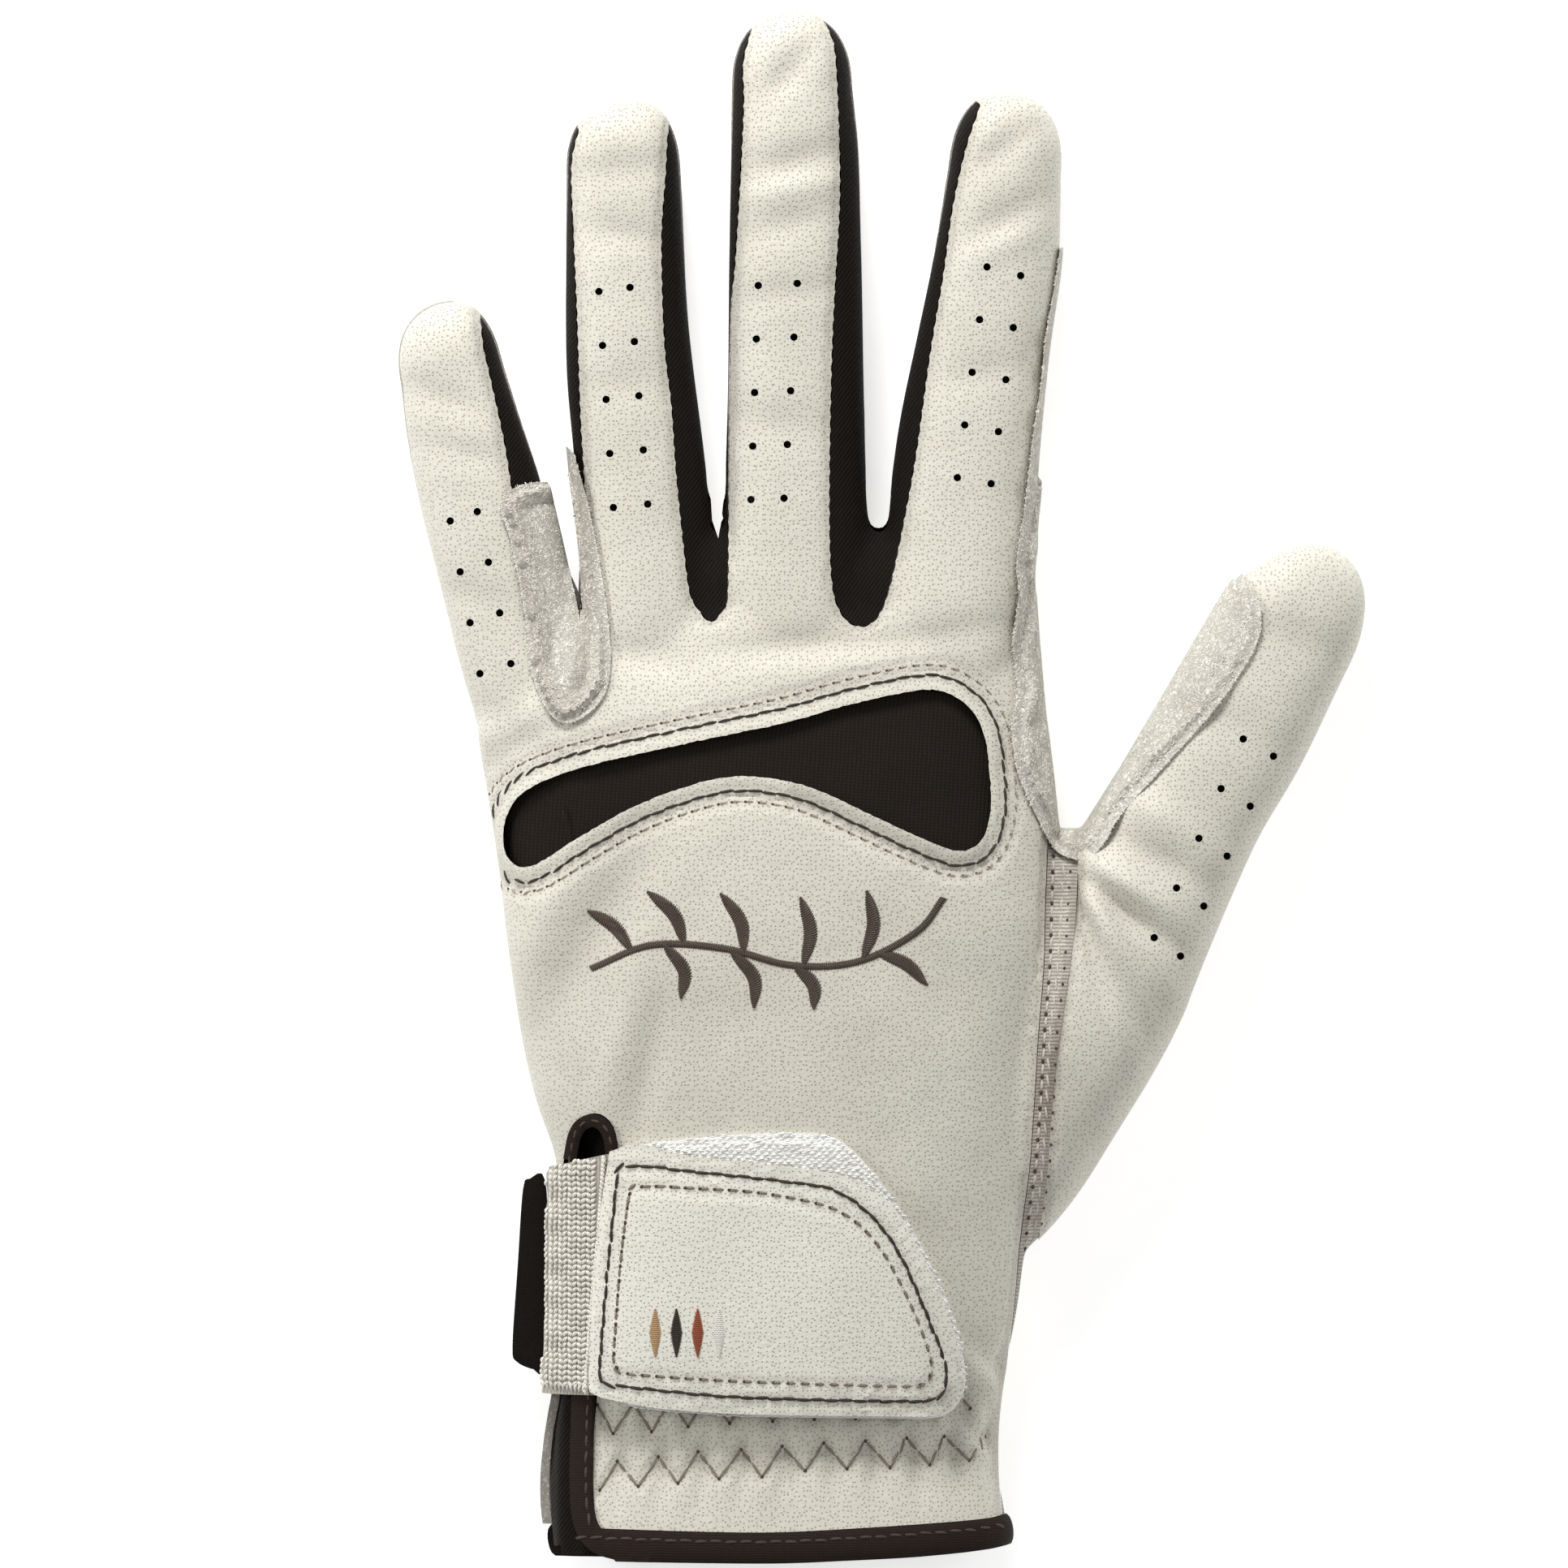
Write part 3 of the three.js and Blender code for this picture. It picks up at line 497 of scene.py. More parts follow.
# %% Outlines and seams of this glove
fork_lines = {
    "little_ring": ([(-46.0, 189.5), (-45.4, 184), (-44.5, 180), (-42.3, 170), (-41.0, 162), (-39.8, 154),
                     (-38.2, 145), (-36.6, 137), (-35.0, 130.5)],
                    [(-33.4, 128.2)],
                    [(-31.6, 131), (-30.3, 140), (-29.7, 150), (-30.0, 158), (-30.5, 166), (-31.0, 175),
                     (-31.5, 190), (-32.2, 205), (-32.3, 212), (-31.2, 217)],
                    (-48, 196), (-34, 225)),
    "ring_middle": ([(-16.0, 220.3), (-17.3, 217.5), (-17.8, 210), (-18.4, 200), (-18.0, 185), (-16.9, 175),
                     (-16.2, 165), (-15.2, 155), (-14.2, 147)],
                    [(-12.9, 144.3), (-11.1, 142.4), (-9.3, 144.2)],
                    [(-8.6, 147), (-8.5, 165), (-8.2, 188), (-7.5, 197), (-6.7, 210), (-6.2, 221),
                     (-6.3, 227), (-5.0, 232.4)],
                    (-14, 228), (-9, 240)),
    "middle_index": ([(5.4, 234.6), (6.9, 232), (8.0, 227), (8.6, 208), (7.8, 192), (7.3, 180), (7.0, 160),
                      (7.4, 148)],
                     [(9.0, 143.2), (11.5, 141.7), (14.0, 143)],
                     [(16.0, 148), (18.3, 159), (19.9, 168), (22.0, 183), (24.0, 195), (25.4, 205),
                      (27.4, 214), (29.6, 220.6)],
                     (9, 242), (24, 228)),
}
forks = {}
fork_edges = {}
for name, (down, turn, up, above_first, above_second) in fork_lines.items():
    edge = curve(down + turn + up)
    fork_edges[name] = edge
    forks[name] = np.vstack([above_first, edge, above_second])

window = clockwise(curve([
    (-42.5, 109.5), (-41.9, 113), (-39.8, 116.2), (-35, 118.8), (-27, 121.2), (-12, 124.5), (0, 127),
    (10, 129.8), (20, 131.9), (24.5, 131.6), (28.3, 129), (30.3, 125), (31.0, 120), (31.2, 114),
    (29.8, 109.3), (26.5, 107.7), (21, 109.5), (13, 113.2), (5, 116.9), (-1, 118.5), (-8, 118.9),
    (-15, 117.3), (-23, 114.2), (-31, 109.7), (-36.5, 106.2), (-39.6, 105.2), (-41.7, 106.6),
], closed=True))
strip_left = curve([(40.0, 109.5), (39.6, 100), (39.3, 90), (38.5, 80), (37.9, 70), (37.2, 60), (36.3, 53),
                    (35.6, 47), (35.0, 40), (34.2, 33), (33.2, 23), (32.6, 16), (33.0, 8), (34.0, 1),
                    (34.5, -12)])
strip_right = curve([(44.6, 110), (44.4, 105), (43.8, 95), (42.4, 85), (41.0, 75), (40.2, 65), (39.6, 57),
                     (38.4, 47.5), (37.8, 43), (37.6, 38)])
strip = np.vstack([strip_left, [(60, -12), (60, 38)], strip_right[::-1]])
thumb = np.vstack([strip_right[::-1], [(45.3, 113), (44.9, 119), (45.6, 126), (60, 175), (115, 175),
                                       (115, 58), (62, 22), (40, 30)]])
thumb_patch = curve([
    (41.8, 199), (40.9, 193), (39.6, 185.5), (38.8, 178), (37.6, 170), (36.4, 160), (35.2, 152), (35.4, 146),
    (34.6, 139), (35.2, 132), (34.4, 126), (35.2, 120), (36.5, 116.4), (38.5, 112.2), (40.4, 108.7),
    (42.2, 107.0), (45.5, 106.4), (48.3, 108.8), (51, 113.3), (57, 120), (65, 129), (70.2, 136.5),
    (72.0, 141), (71.9, 145), (69.6, 149.4),
])
thumb_patch_outline = np.vstack([thumb_patch, [(66, 156), (48, 150), (48, 200)]])
rein_left = curve([(-35.0, 163.6), (-38.2, 163.4), (-41.4, 162.2), (-42.9, 159.6), (-41.8, 156),
                   (-40.3, 149.5), (-39.0, 142), (-38.4, 135.5), (-36.6, 130.4), (-34.6, 127.6),
                   (-32.4, 127.0), (-29.6, 128.4), (-27.2, 131.2), (-26.2, 135.5), (-26.6, 143),
                   (-27.9, 151.5), (-29.6, 160), (-31.8, 167.8)])
rein_outline = np.vstack([rein_left, [(-33.0, 169), (-34.0, 165)]])
cuff_top = curve([(-60, 6.0), (-38, 5.6), (-26, 5.3), (-10, 4.9), (0, 4.9), (10, 5.4), (20, 6.0), (30, 6.7),
                  (36, 7.6), (60, 11)])
cuff_foot = curve([(-60, 1.0), (-38, 0.8), (-26, 0.5), (-10, 0.3), (0, 0.3), (10, 0.7), (20, 1.2), (30, 2.1),
                   (36, 3.1), (60, 7)])
vent_edge = curve([(-24.6, 0.4), (-27.2, 1.2), (-28.9, 3.4), (-29.4, 8), (-29.0, 16), (-28.2, 26),
                   (-27.0, 40), (-25.6, 55), (-25.2, 63), (-25.8, 66.2), (-27.7, 68.0), (-30.0, 67.8),
                   (-31.8, 66.0), (-33.0, 62.6), (-34.6, 52), (-37.0, 38), (-40.0, 24), (-46, 10)])
tab = clockwise(np.vstack([
    curve([(-26.3, 62.4), (-22, 63.5), (-14.6, 61.9), (-5.5, 60.9), (3.6, 59.8), (8.5, 58.9), (12.3, 57.5),
           (15.6, 55.0), (18.2, 51.8), (20.2, 48.2), (22.4, 43.8), (24.2, 39.6), (25.8, 35.0), (26.8, 30.4),
           (26.9, 27.0), (26.0, 24.6), (24.3, 23.0), (21.4, 22.4), (14.7, 22.5), (-5.5, 22.8), (-19.2, 23.7),
           (-27.6, 25.2)]),
    curve([(-29.1, 25.9), (-29.5, 27.2), (-29.2, 36), (-28.4, 47), (-27.2, 57)]),
]))
print("window:", len(window), "points, tab:", len(tab), "points")

# %% [markdown]
# ## Folds, dents and gathers
#
# Leather that has been worn keeps soft folds. Each is a row of a table: where it is, which way it runs, how
# long, wide and deep it is. A negative depth is a ridge. The elastic that is sewn inside the wrist draws the
# leather up into small gathers between the points of its zigzag stitches, and these are waves that fade away
# from the rows.

# %% Tables of folds and zigzags
FOLD = ("x", "y", "turn", "long", "wide", "deep")
folds = table(FOLD, [
    (-28.5, 96.0, 60, 16.0, 4.5, 1.4),
    (-34.5, 100.0, 62, 13.0, 3.5, -0.7),
    (-21.0, 74.0, 78, 11.0, 2.6, 0.8),
    (-25.0, 78.0, 75, 12.0, 2.6, -0.5),
    (-6.0, 84.0, 20, 18.0, 7.0, 0.5),
    (20.0, 92.0, -35, 18.0, 7.0, 0.6),
    (4.0, 139.0, 3, 13.0, 2.0, 0.7),
    (2.0, 134.5, 5, 12.0, 2.6, -0.4),
    (-24.0, 137.5, -12, 9.0, 2.4, 0.6),
    (27.0, 141.0, 8, 11.0, 2.4, 0.5),
    (-43.0, 121.5, 35, 9.0, 3.0, 0.8),
    (-41.0, 127.0, 25, 8.0, 2.4, -0.4),
    (-36.0, 122.0, -40, 10.0, 2.6, 0.5),
    (1.0, 226.0, 50, 6.0, 2.4, 0.8),
    (1.5, 212.0, 12, 8.0, 2.8, 0.9),
    (1.5, 208.0, 10, 7.0, 2.2, -0.4),
    (0.5, 202.5, 14, 8.0, 2.6, 0.6),
    (0.5, 192.0, 8, 8.0, 2.4, 0.4),
    (0.0, 172.0, -6, 9.0, 3.0, 0.4),
    (34.0, 214.5, 35, 6.0, 2.4, 0.8),
    (33.5, 203.5, 28, 7.0, 2.6, 0.7),
    (33.0, 199.0, 26, 7.0, 2.2, -0.4),
    (30.0, 180.0, 10, 8.0, 2.6, 0.4),
    (-24.5, 211.0, 6, 7.0, 2.6, 0.5),
    (-24.0, 201.0, -6, 8.0, 2.6, 0.6),
    (-25.0, 178.0, 8, 8.0, 3.0, 0.4),
    (-51.0, 176.0, -20, 6.0, 2.4, 0.6),
    (-49.0, 168.0, -12, 7.0, 2.4, 0.4),
    (-46.0, 146.0, -14, 6.0, 2.6, 0.4),
    (51.5, 98.8, -36, 8.5, 1.5, 1.9),
    (51.0, 103.2, -32, 9.0, 2.0, -1.3),
    (49.0, 95.5, -64, 11.0, 1.8, -1.6),
    (46.0, 94.0, -74, 10.0, 1.5, 1.7),
    (57.0, 88.0, -56, 9.0, 2.6, -0.8),
    (49.6, 84.0, -70, 13.0, 2.2, -0.7),
    (56.0, 107.0, -30, 9.0, 2.2, 1.1),
    (57.0, 112.5, -30, 9.0, 2.6, -0.8),
    (66.0, 128.0, -30, 9.0, 3.0, 0.6),
    (78.0, 140.0, -20, 7.0, 3.0, 0.5),
    (47.0, 64.0, -80, 14.0, 3.0, 0.5),
    (27.0, 22.0, -50, 7.0, 1.6, 0.9),
    (30.0, 17.5, -40, 7.0, 1.6, -0.8),
    (24.5, 26.5, -60, 6.0, 1.6, 0.7),
    (31.0, 27.0, -50, 6.0, 1.8, -0.6),
    (33.0, 30.0, -40, 6.0, 2.0, 0.5),
])
zigzag_low = np.array([(-27.8, 11.2), (-25.2, 15.5), (-22.0, 11.8), (-19.0, 16.2), (-16.0, 12.3),
                       (-13.0, 17.0), (-9.8, 13.0),
              (-6.5, 17.3), (-3.3, 13.3), (-0.3, 17.8), (3.2, 14.2), (6.0, 18.3), (9.5, 14.5), (12.3, 18.6),
              (16.0, 14.6), (18.5, 19.0), (22.0, 15.0), (24.2, 19.2), (28.0, 15.6), (30.4, 19.0)])
zigzag_high = np.array([(-28.2, 24.0), (-25.8, 19.7), (-22.8, 24.2), (-20.0, 20.0), (-17.2, 24.6),
                        (-14.5, 20.8), (-11.4, 25.2),
               (-8.2, 21.3), (-5.0, 25.6), (-1.7, 21.6), (1.4, 25.8), (4.6, 21.9), (7.8, 25.9), (10.8, 22.0),
               (14.0, 26.0), (17.0, 22.2), (20.2, 26.2), (23.0, 22.6), (25.8, 26.6), (28.2, 23.4)])
print(len(folds), "folds")

# %% [markdown]
# ## The relief of the leather
#
# Every point of the skin is moved in or out by a sum of simple shapes. Seams and stitch rows pull it in, so
# that each panel swells a little between them, which is what tells sewn leather from cut plastic. A slow
# noise keeps broad areas from looking machined.

# %% Rows of stitches on the leather
window_dark = offset(even(window, 0.5, True), 2.2, True)
window_thin = offset(even(window, 0.5, True), 3.8, True)

tab_dark = even(clockwise(np.vstack([
    curve([(-24.9, 60.0), (-20.5, 60.2), (-14.6, 59.5), (-5.5, 58.6), (2.0, 57.7), (6.8, 56.9), (11.0, 54.6),
           (14.7, 51.0), (17.6, 46.6), (20.2, 41.0), (22.4, 35.6), (24.0, 31.4), (24.5, 28.0), (23.8, 25.9),
           (21.6, 24.8), (12.0, 24.8), (-7.4, 25.4), (-20.0, 26.5), (-26.6, 27.2)]),
    curve([(-27.8, 27.9), (-27.7, 31), (-27.0, 40), (-26.0, 50), (-25.2, 58.4)]),
])), 0.4, True)
tab_thin = even(clockwise(np.vstack([
    curve([(-22.9, 57.1), (-18.5, 57.2), (-13.5, 56.9), (-4.8, 56.4), (4.0, 54.9), (8.4, 53.4), (11.8, 51.0),
           (15.2, 46.8), (18.9, 39.8), (21.6, 33.0), (22.3, 29.6), (21.6, 27.6), (19.4, 27.0), (10.1, 27.2),
           (-7.4, 27.8), (-20.6, 28.6), (-24.6, 28.9)]),
    curve([(-25.7, 29.6), (-25.6, 33), (-24.6, 46), (-23.4, 55.6)]),
])), 0.4, True)
seam_lines = [*fork_edges.values(), strip_left, strip_right]
SEAM_PULL = 0.3
SEAM_WIDTH = 0.6
ROW_PULL = 0.28
ROW_WIDTH = 0.42
ZIGZAG_PULL = 0.35
ZIGZAG_WIDTH = 0.6
ZIGZAG_LEFT = -27.8
ZIGZAG_PITCH = 6.3
WANDER = 0.22
WANDER_SIZE = 11
FINE_WANDER = 0.07
FINE_SIZE = 4.5
GATHER = 1.5
GATHER_BASE = 15.2
GATHER_RISE = 0.055
GATHER_LEFT = -27
GATHER_LENGTH = 6.5
GATHER_SPREAD = 0.12
GATHER_SHARPNESS = 1.6
UPPER_SHARE = 0.8


def bell(distance, width):
    """One at no distance, fading away over a width."""
    return np.exp(-(distance / width)**2)


def ramp(values, zero, one):
    """A straight slope from nothing at one value to one at another."""
    return np.clip((values - zero) / (one - zero), 0, 1)


def slow_noise(points, wide, long, layer):
    """A value that wanders over the plan, with the size of its lumps across and along."""
    return np.array([noise.noise(Vector((x / wide, y / long, layer))) for x, y in points[:, :2]])


def beside(points, line, width, closed=False, reach=4):
    """One on a line, fading away on both sides of it."""
    return bell(distance_to(points, line, closed, reach), width)


def fold_depth(points):
    """How deep all the folds together are at each point."""
    depth = np.zeros(len(points))
    for fold in folds:
        turn = math.radians(fold["turn"])
        aside = points[:, 0] - fold["x"]
        ahead = points[:, 1] - fold["y"]
        along = (aside * math.cos(turn) + ahead * math.sin(turn)) / fold["long"]
        across = (ahead * math.cos(turn) - aside * math.sin(turn)) / fold["wide"]
        depth += fold["deep"] * np.exp(-(along**2 + across**2))
    return depth


def gathers(points):
    """Puckers that hang from the points of the zigzags, deepest along the rows."""
    x, y = points[:, 0], points[:, 1]
    base = GATHER_BASE + GATHER_RISE * (x - GATHER_LEFT)
    lower = bell(y - base, GATHER_LENGTH)
    phase = (x - ZIGZAG_LEFT + GATHER_SPREAD * (y - base) * np.sign(x)) / ZIGZAG_PITCH
    wave = (0.5 - 0.5 * np.cos(2 * math.pi * phase))**GATHER_SHARPNESS
    upper = bell(y - base - GATHER_LENGTH, GATHER_LENGTH)
    other = (0.5 + 0.5 * np.cos(2 * math.pi * phase))**GATHER_SHARPNESS
    edge = 0.6 + 0.4 * ramp(x, 8, 30)
    return GATHER * edge * (lower * wave + upper * other * UPPER_SHARE)


def facing_up(normals):
    """One on the upper side, fading away where the skin turns down."""
    return np.clip(normals[:, 2] * 2.5, 0, 1)


def broad_relief(points, normals):
    """Folds, gathers and a slow wander, which the inner side follows too."""
    wander = np.array([noise.noise(Vector(point / WANDER_SIZE)) for point in points])
    folded = -(fold_depth(points) + gathers(points)) * facing_up(normals)
    return folded + WANDER * wander * np.clip(normals[:, 2] * 2 + 0.4, 0, 1)


def leather_relief(points, normals):
    """How far each point of the leather moves outwards."""
    upper = facing_up(normals)
    move = broad_relief(points, normals)
    for line in seam_lines:
        move -= SEAM_PULL * beside(points, line, SEAM_WIDTH, reach=5) * upper
    for line in (window_dark, window_thin):
        move -= ROW_PULL * beside(points, line, ROW_WIDTH, closed=True, reach=3) * upper
    for line in (zigzag_low, zigzag_high):
        move -= ZIGZAG_PULL * beside(points, line, ZIGZAG_WIDTH) * upper
    return move + FINE_WANDER * slow_noise(points, FINE_SIZE, FINE_SIZE, 7) * upper


points = points_of(form)
normals = normals_of(form)
skin = duplicate(form, "skin")
set_points(skin, points + normals * leather_relief(points, normals)[:, None])
print("skin moved by", round(float(np.abs(points_of(skin) - points).max()), 2), "mm at most")

# %% [markdown]
# ## Cutting panels from the skin
#
# A cutter starts as a disc, whose rim is laid along an outline and then extruded upwards. The boolean
# modifier cuts with it. Its Manifold solver is quick and keeps closed shapes closed, which the exact solver
# does more slowly.

# %% Cutters and booleans
LEATHER = 1.2
HALF_SEAM = 0.11
LOW = -30.0
HIGH = 70.0
SEAM_HEIGHT = 4.6
LITTLE_SEAM_HEIGHT = 8
THUMB_SEAM_HEIGHT = 7


def cutter(outline, low=LOW, high=HIGH):
    """An upright prism of an outline."""
    bpy.ops.mesh.primitive_circle_add(vertices=len(outline), radius=MM, fill_type="NGON")
    piece = bpy.context.object
    set_points(piece, np.column_stack([outline, np.full(len(outline), low)]))
    bpy.ops.object.mode_set(mode="EDIT")
    bpy.ops.mesh.select_all(action="SELECT")
    bpy.ops.mesh.extrude_region_move(TRANSFORM_OT_translate={"value": (0, 0, (high - low) * MM)})
    bpy.ops.mesh.select_all(action="SELECT")
    bpy.ops.mesh.normals_make_consistent(inside=False)
    bpy.ops.object.mode_set(mode="OBJECT")
    return piece


def cut(piece, tools, operation="DIFFERENCE"):
    """Cuts a piece with each tool in turn, and throws the tools away."""
    for tool in tools:
        apply(piece, "BOOLEAN", operation=operation, solver="MANIFOLD", object=tool)
        bpy.data.objects.remove(tool)
    return piece


def lifted(source, distance, name):
    """A copy of a form with its surface moved outwards."""
    piece = duplicate(source, name)
    set_points(piece, points_of(piece) + normals_of(piece) * distance)
    return piece


def grown(outline, distance):
    """An outline moved outwards."""
    return offset(clockwise(outline), distance, True)


def within(source, name, outline):
    """A copy of a piece, kept only inside an outline."""
    return cut(duplicate(source, name), [cutter(outline)], "INTERSECT")


def cut_below(line):
    """A cutter that takes away all that lies nearer the arm than a line across the cuff."""
    return cutter(np.vstack([line, [(60, -60), (-60, -60)]]))


outer_side = np.array([(-98, -30), (-24.6, -30), (-24.6, 66), (-36, 128), (-43.5, 160.6), (-51, 195.6),
                       (-98, 195.6)])
whole_plan = np.array([(-200, -60), (-200, 300), (200, 300), (200, -60)])
inner = duplicate(coarse_form, "inner")
points = points_of(inner)
normals = normals_of(inner)
set_points(inner, points + normals * (broad_relief(points, normals) - LEATHER)[:, None])
shell = cut(duplicate(skin, "shell"), [inner])
cut(shell, [cut_below(cuff_foot)])
print("shell:", len(shell.data.polygons), "faces")

# %% [markdown]
# ## Leather of the back, with its vents
#
# Rows of small vents are punched through the leather of each finger. A punch is a short upright rod, so one
# rod is made at every place, all are joined, and one boolean takes them out together, where one boolean for
# each would take many times as long. The window of the knit panel, the slit of the wrist and the seams are
# cut in the same way.

# %% Punch the vents and cut the leather
VENT_RADIUS = 0.58
PUNCH_SIDES = 16
PUNCH_LENGTH = 30
PUNCH_HEIGHT = 25
SCALLOP_STEP = 0.35
FRAY_STEP = 0.4
FORK_MARGIN = 0.1
vent_rows = [
    (5, (-28.0, 192.3), (-23.3, 192.9), (-25.8, 159.6), (-20.6, 160.1)),
    (5, (-3.9, 193.2), (2.0, 193.5), (-5.0, 160.8), (0.0, 161.0)),
    (5, (30.7, 196.0), (35.8, 194.7), (26.2, 164.1), (31.3, 163.2)),
    (4, (-50.5, 157.6), (-46.4, 159.0), (-46.0, 134.5), (-41.3, 136.0)),
    (5, (69.4, 124.6), (74.0, 122.0), (55.9, 94.6), (59.9, 91.8)),
]
vents = []
for count, first_left, first_right, last_left, last_right in vent_rows:
    for share in np.linspace(0, 1, count):
        vents.append(np.array(first_left) * (1 - share) + np.array(last_left) * share)
        vents.append(np.array(first_right) * (1 - share) + np.array(last_right) * share)


def punches():
    """One mesh of upright rods, one at each vent."""
    rods = []
    for x, y in vents:
        bpy.ops.mesh.primitive_cylinder_add(vertices=PUNCH_SIDES, radius=VENT_RADIUS * MM,
                                            depth=PUNCH_LENGTH * MM, location=place(x, y, PUNCH_HEIGHT))
        bpy.ops.object.transform_apply(location=True)
        rods.append(bpy.context.object)
    return join(rods, "punches")


def scalloped(outline, deep=0.16, pitch=2.1):
    """An outline whose edge swells a little between its stitches."""
    line = even(clockwise(outline), SCALLOP_STEP, True)
    along = np.arange(len(line)) * SCALLOP_STEP
    return line + sideways(line, True) * (deep * np.abs(np.sin(math.pi * along / pitch)) - deep)[:, None]


def frayed(outline, deep=0.14):
    """An outline with the uneven edge of a raw cut."""
    line = even(clockwise(outline), FRAY_STEP, True)
    rough = np.array([noise.noise(Vector((x * 1.3, y * 1.3, 2))) for x, y in line])
    return line + sideways(line, True) * (deep * rough)[:, None]


lower_side = np.array([(-24.6, -60), (-24.6, 66), (-36, 128), (-43.5, 160.6), (-51, 195.6), (-98, 195.6),
                       (-98, 300), (200, 300), (200, -60)])
thumb_wide = grown(thumb, HALF_SEAM)
strip_wide = grown(strip, HALF_SEAM)
vent_outline = np.vstack([vent_edge, [(-70, 10), (-70, -30), (-24.6, -30)]])

back_leather = duplicate(shell, "back_leather")
cut(back_leather, [cutter(lower_side, LOW, SEAM_HEIGHT), cutter(outer_side, LOW, LITTLE_SEAM_HEIGHT)])
cut(back_leather, [cutter(thumb_wide), cutter(strip_wide), cutter(frayed(window)), cutter(vent_outline)])
cut(back_leather, [cutter(scalloped(grown(outline, HALF_SEAM + FORK_MARGIN))) for outline in forks.values()])
cut(back_leather, [punches()])
print("back leather:", len(back_leather.data.polygons), "faces")

# %% [markdown]
# ## Palm, forks, thumb and strip
#
# The walls between the fingers are forks: long strips that give a finger its depth. They are set a little
# deeper than the leather, so its cut edge shows as a bright line beside the dark knit. The thumb is two
# halves with a seam round it, and the suede strip is stitched beside it from the wrist up to the crotch.

# %% Cut the other panels
FORK_DEPTH = 0.4
FORK_THICKNESS = 1.0
STRIP_DEPTH = 0.25
BINDING_GAP = 0.1
fork_inner = lifted(coarse_form, -FORK_DEPTH - FORK_THICKNESS, "fork_inner")
fork_shell = cut(lifted(form, -FORK_DEPTH, "fork_shell"), [fork_inner])
fork_pieces = {}
for name, outline in forks.items():
    fork_pieces[name] = within(fork_shell, "fourchette_" + name, outline)
    cut(fork_pieces[name], [cutter(whole_plan, LOW, SEAM_HEIGHT)])
bpy.data.objects.remove(fork_shell)

thumb_back = within(shell, "thumb_back", thumb)
cut(thumb_back, [cutter(whole_plan, LOW, THUMB_SEAM_HEIGHT), punches()])
thumb_palm = within(shell, "thumb_palm", thumb)
cut(thumb_palm, [cutter(whole_plan, THUMB_SEAM_HEIGHT - HALF_SEAM, HIGH)])
palm_leather = duplicate(shell, "palm_leather")
cut(palm_leather, [cutter(lower_side, SEAM_HEIGHT - HALF_SEAM, HIGH)])
cut(palm_leather, [cutter(outer_side, LITTLE_SEAM_HEIGHT - HALF_SEAM, HIGH), cutter(thumb_wide)])
strip_shell = cut(lifted(form, -STRIP_DEPTH, "strip_shell"), [lifted(coarse_form, -LEATHER, "strip_inner")])
strip_piece = cut(strip_shell, [cutter(strip)], "INTERSECT")
cut(strip_piece, [cutter(whole_plan, LOW, SEAM_HEIGHT), cut_below(cuff_top + [0, BINDING_GAP])])
strip_piece.name = "thumb_seam_strip"
for piece in (back_leather, thumb_back, thumb_palm, palm_leather):
    cut(piece, [cut_below(cuff_top + [0, BINDING_GAP])])
print("palm:", len(palm_leather.data.polygons), "faces, thumb:", len(thumb_back.data.polygons))

# %% [markdown]
# ## Sheets that lie on the form
#
# Patches, tapes and the tab lie on the leather, so each is the same form moved outwards to its height, cut to
# its outline, and hollowed by the form moved outwards a little less. Its edge sinks in a soft curve, as a cut
# edge of suede or a turned edge of leather does.

# %% A helper for sheets, and the knit panel behind the window
FORM_POINTS = points_of(form)
FORM_NORMALS = normals_of(form)
SHEET_MARGIN = 4
PANEL_ROUNDS = 10


def sheet_piece(name, outline, low, high, relief=None, floor=4.0, round_edge=(0.5, 0.8)):
    """A sheet between two heights above the form, with a relief and an edge that sinks over a width."""
    piece = duplicate(form, name)
    near = inside(FORM_POINTS, grown(outline, SHEET_MARGIN)) & (FORM_POINTS[:, 2] > floor - SHEET_MARGIN)
    spots = FORM_POINTS[near]
    directions = FORM_NORMALS[near]
    sink, width = round_edge
    height = high - sink * beside(spots, outline, width, closed=True, reach=5)
    if relief:
        height = height + relief(spots, directions)
    points = FORM_POINTS.copy()
    points[near] = spots + directions * height[:, None]
    set_points(piece, points)
    cut(piece, [cutter(outline)], "INTERSECT")
    cut(piece, [lifted(coarse_form, low, name + "_inner"), cutter(whole_plan, LOW, floor)])
    return piece


def knit_relief(points, _):
    return 0.25 * slow_noise(points, 9, 9, 3)


knuckle_panel = sheet_piece("knuckle_panel", grown(window, 2.2), low=-2.6, high=-1.6, relief=knit_relief,
                            round_edge=(0, 1))
smooth(knuckle_panel, PANEL_ROUNDS)
gusset_outline = grown(np.array([(-33.6, 3.0), (-33.6, 1.6), (-24, 1.6), (-24, 66), (-28, 70), (-36, 66),
                                 (-44, 30), (-44, 5.8), (-36, 2.6)]), 0.3)


def gusset_relief(points, _):
    """Two soft lobes, where the spare knit folds up."""
    x, y = points[:, 0], points[:, 1]
    lobes = bell(x + 34.6, 1.6) + 0.6 * bell(x + 31.0, 1.4)
    return 0.9 * lobes * ramp(y, 30, 20) - 0.2


vent_gusset = sheet_piece("vent_gusset", gusset_outline, low=-2.9, high=-1.9, relief=gusset_relief, floor=3.4,
                          round_edge=(0, 1))
print("knuckle panel:", len(knuckle_panel.data.polygons), "faces")

# %% [markdown]
# ## Suede patches
#
# One patch fills the crotch between the little and ring fingers, where a rein runs, and the other runs down
# the index finger, over the crotch and along the thumb. The suede is soft, so its edges roll and wave, and it
# gathers in pleats where it turns the crotch. Waves along the edge come from the distance to the outline and
# the place along it.

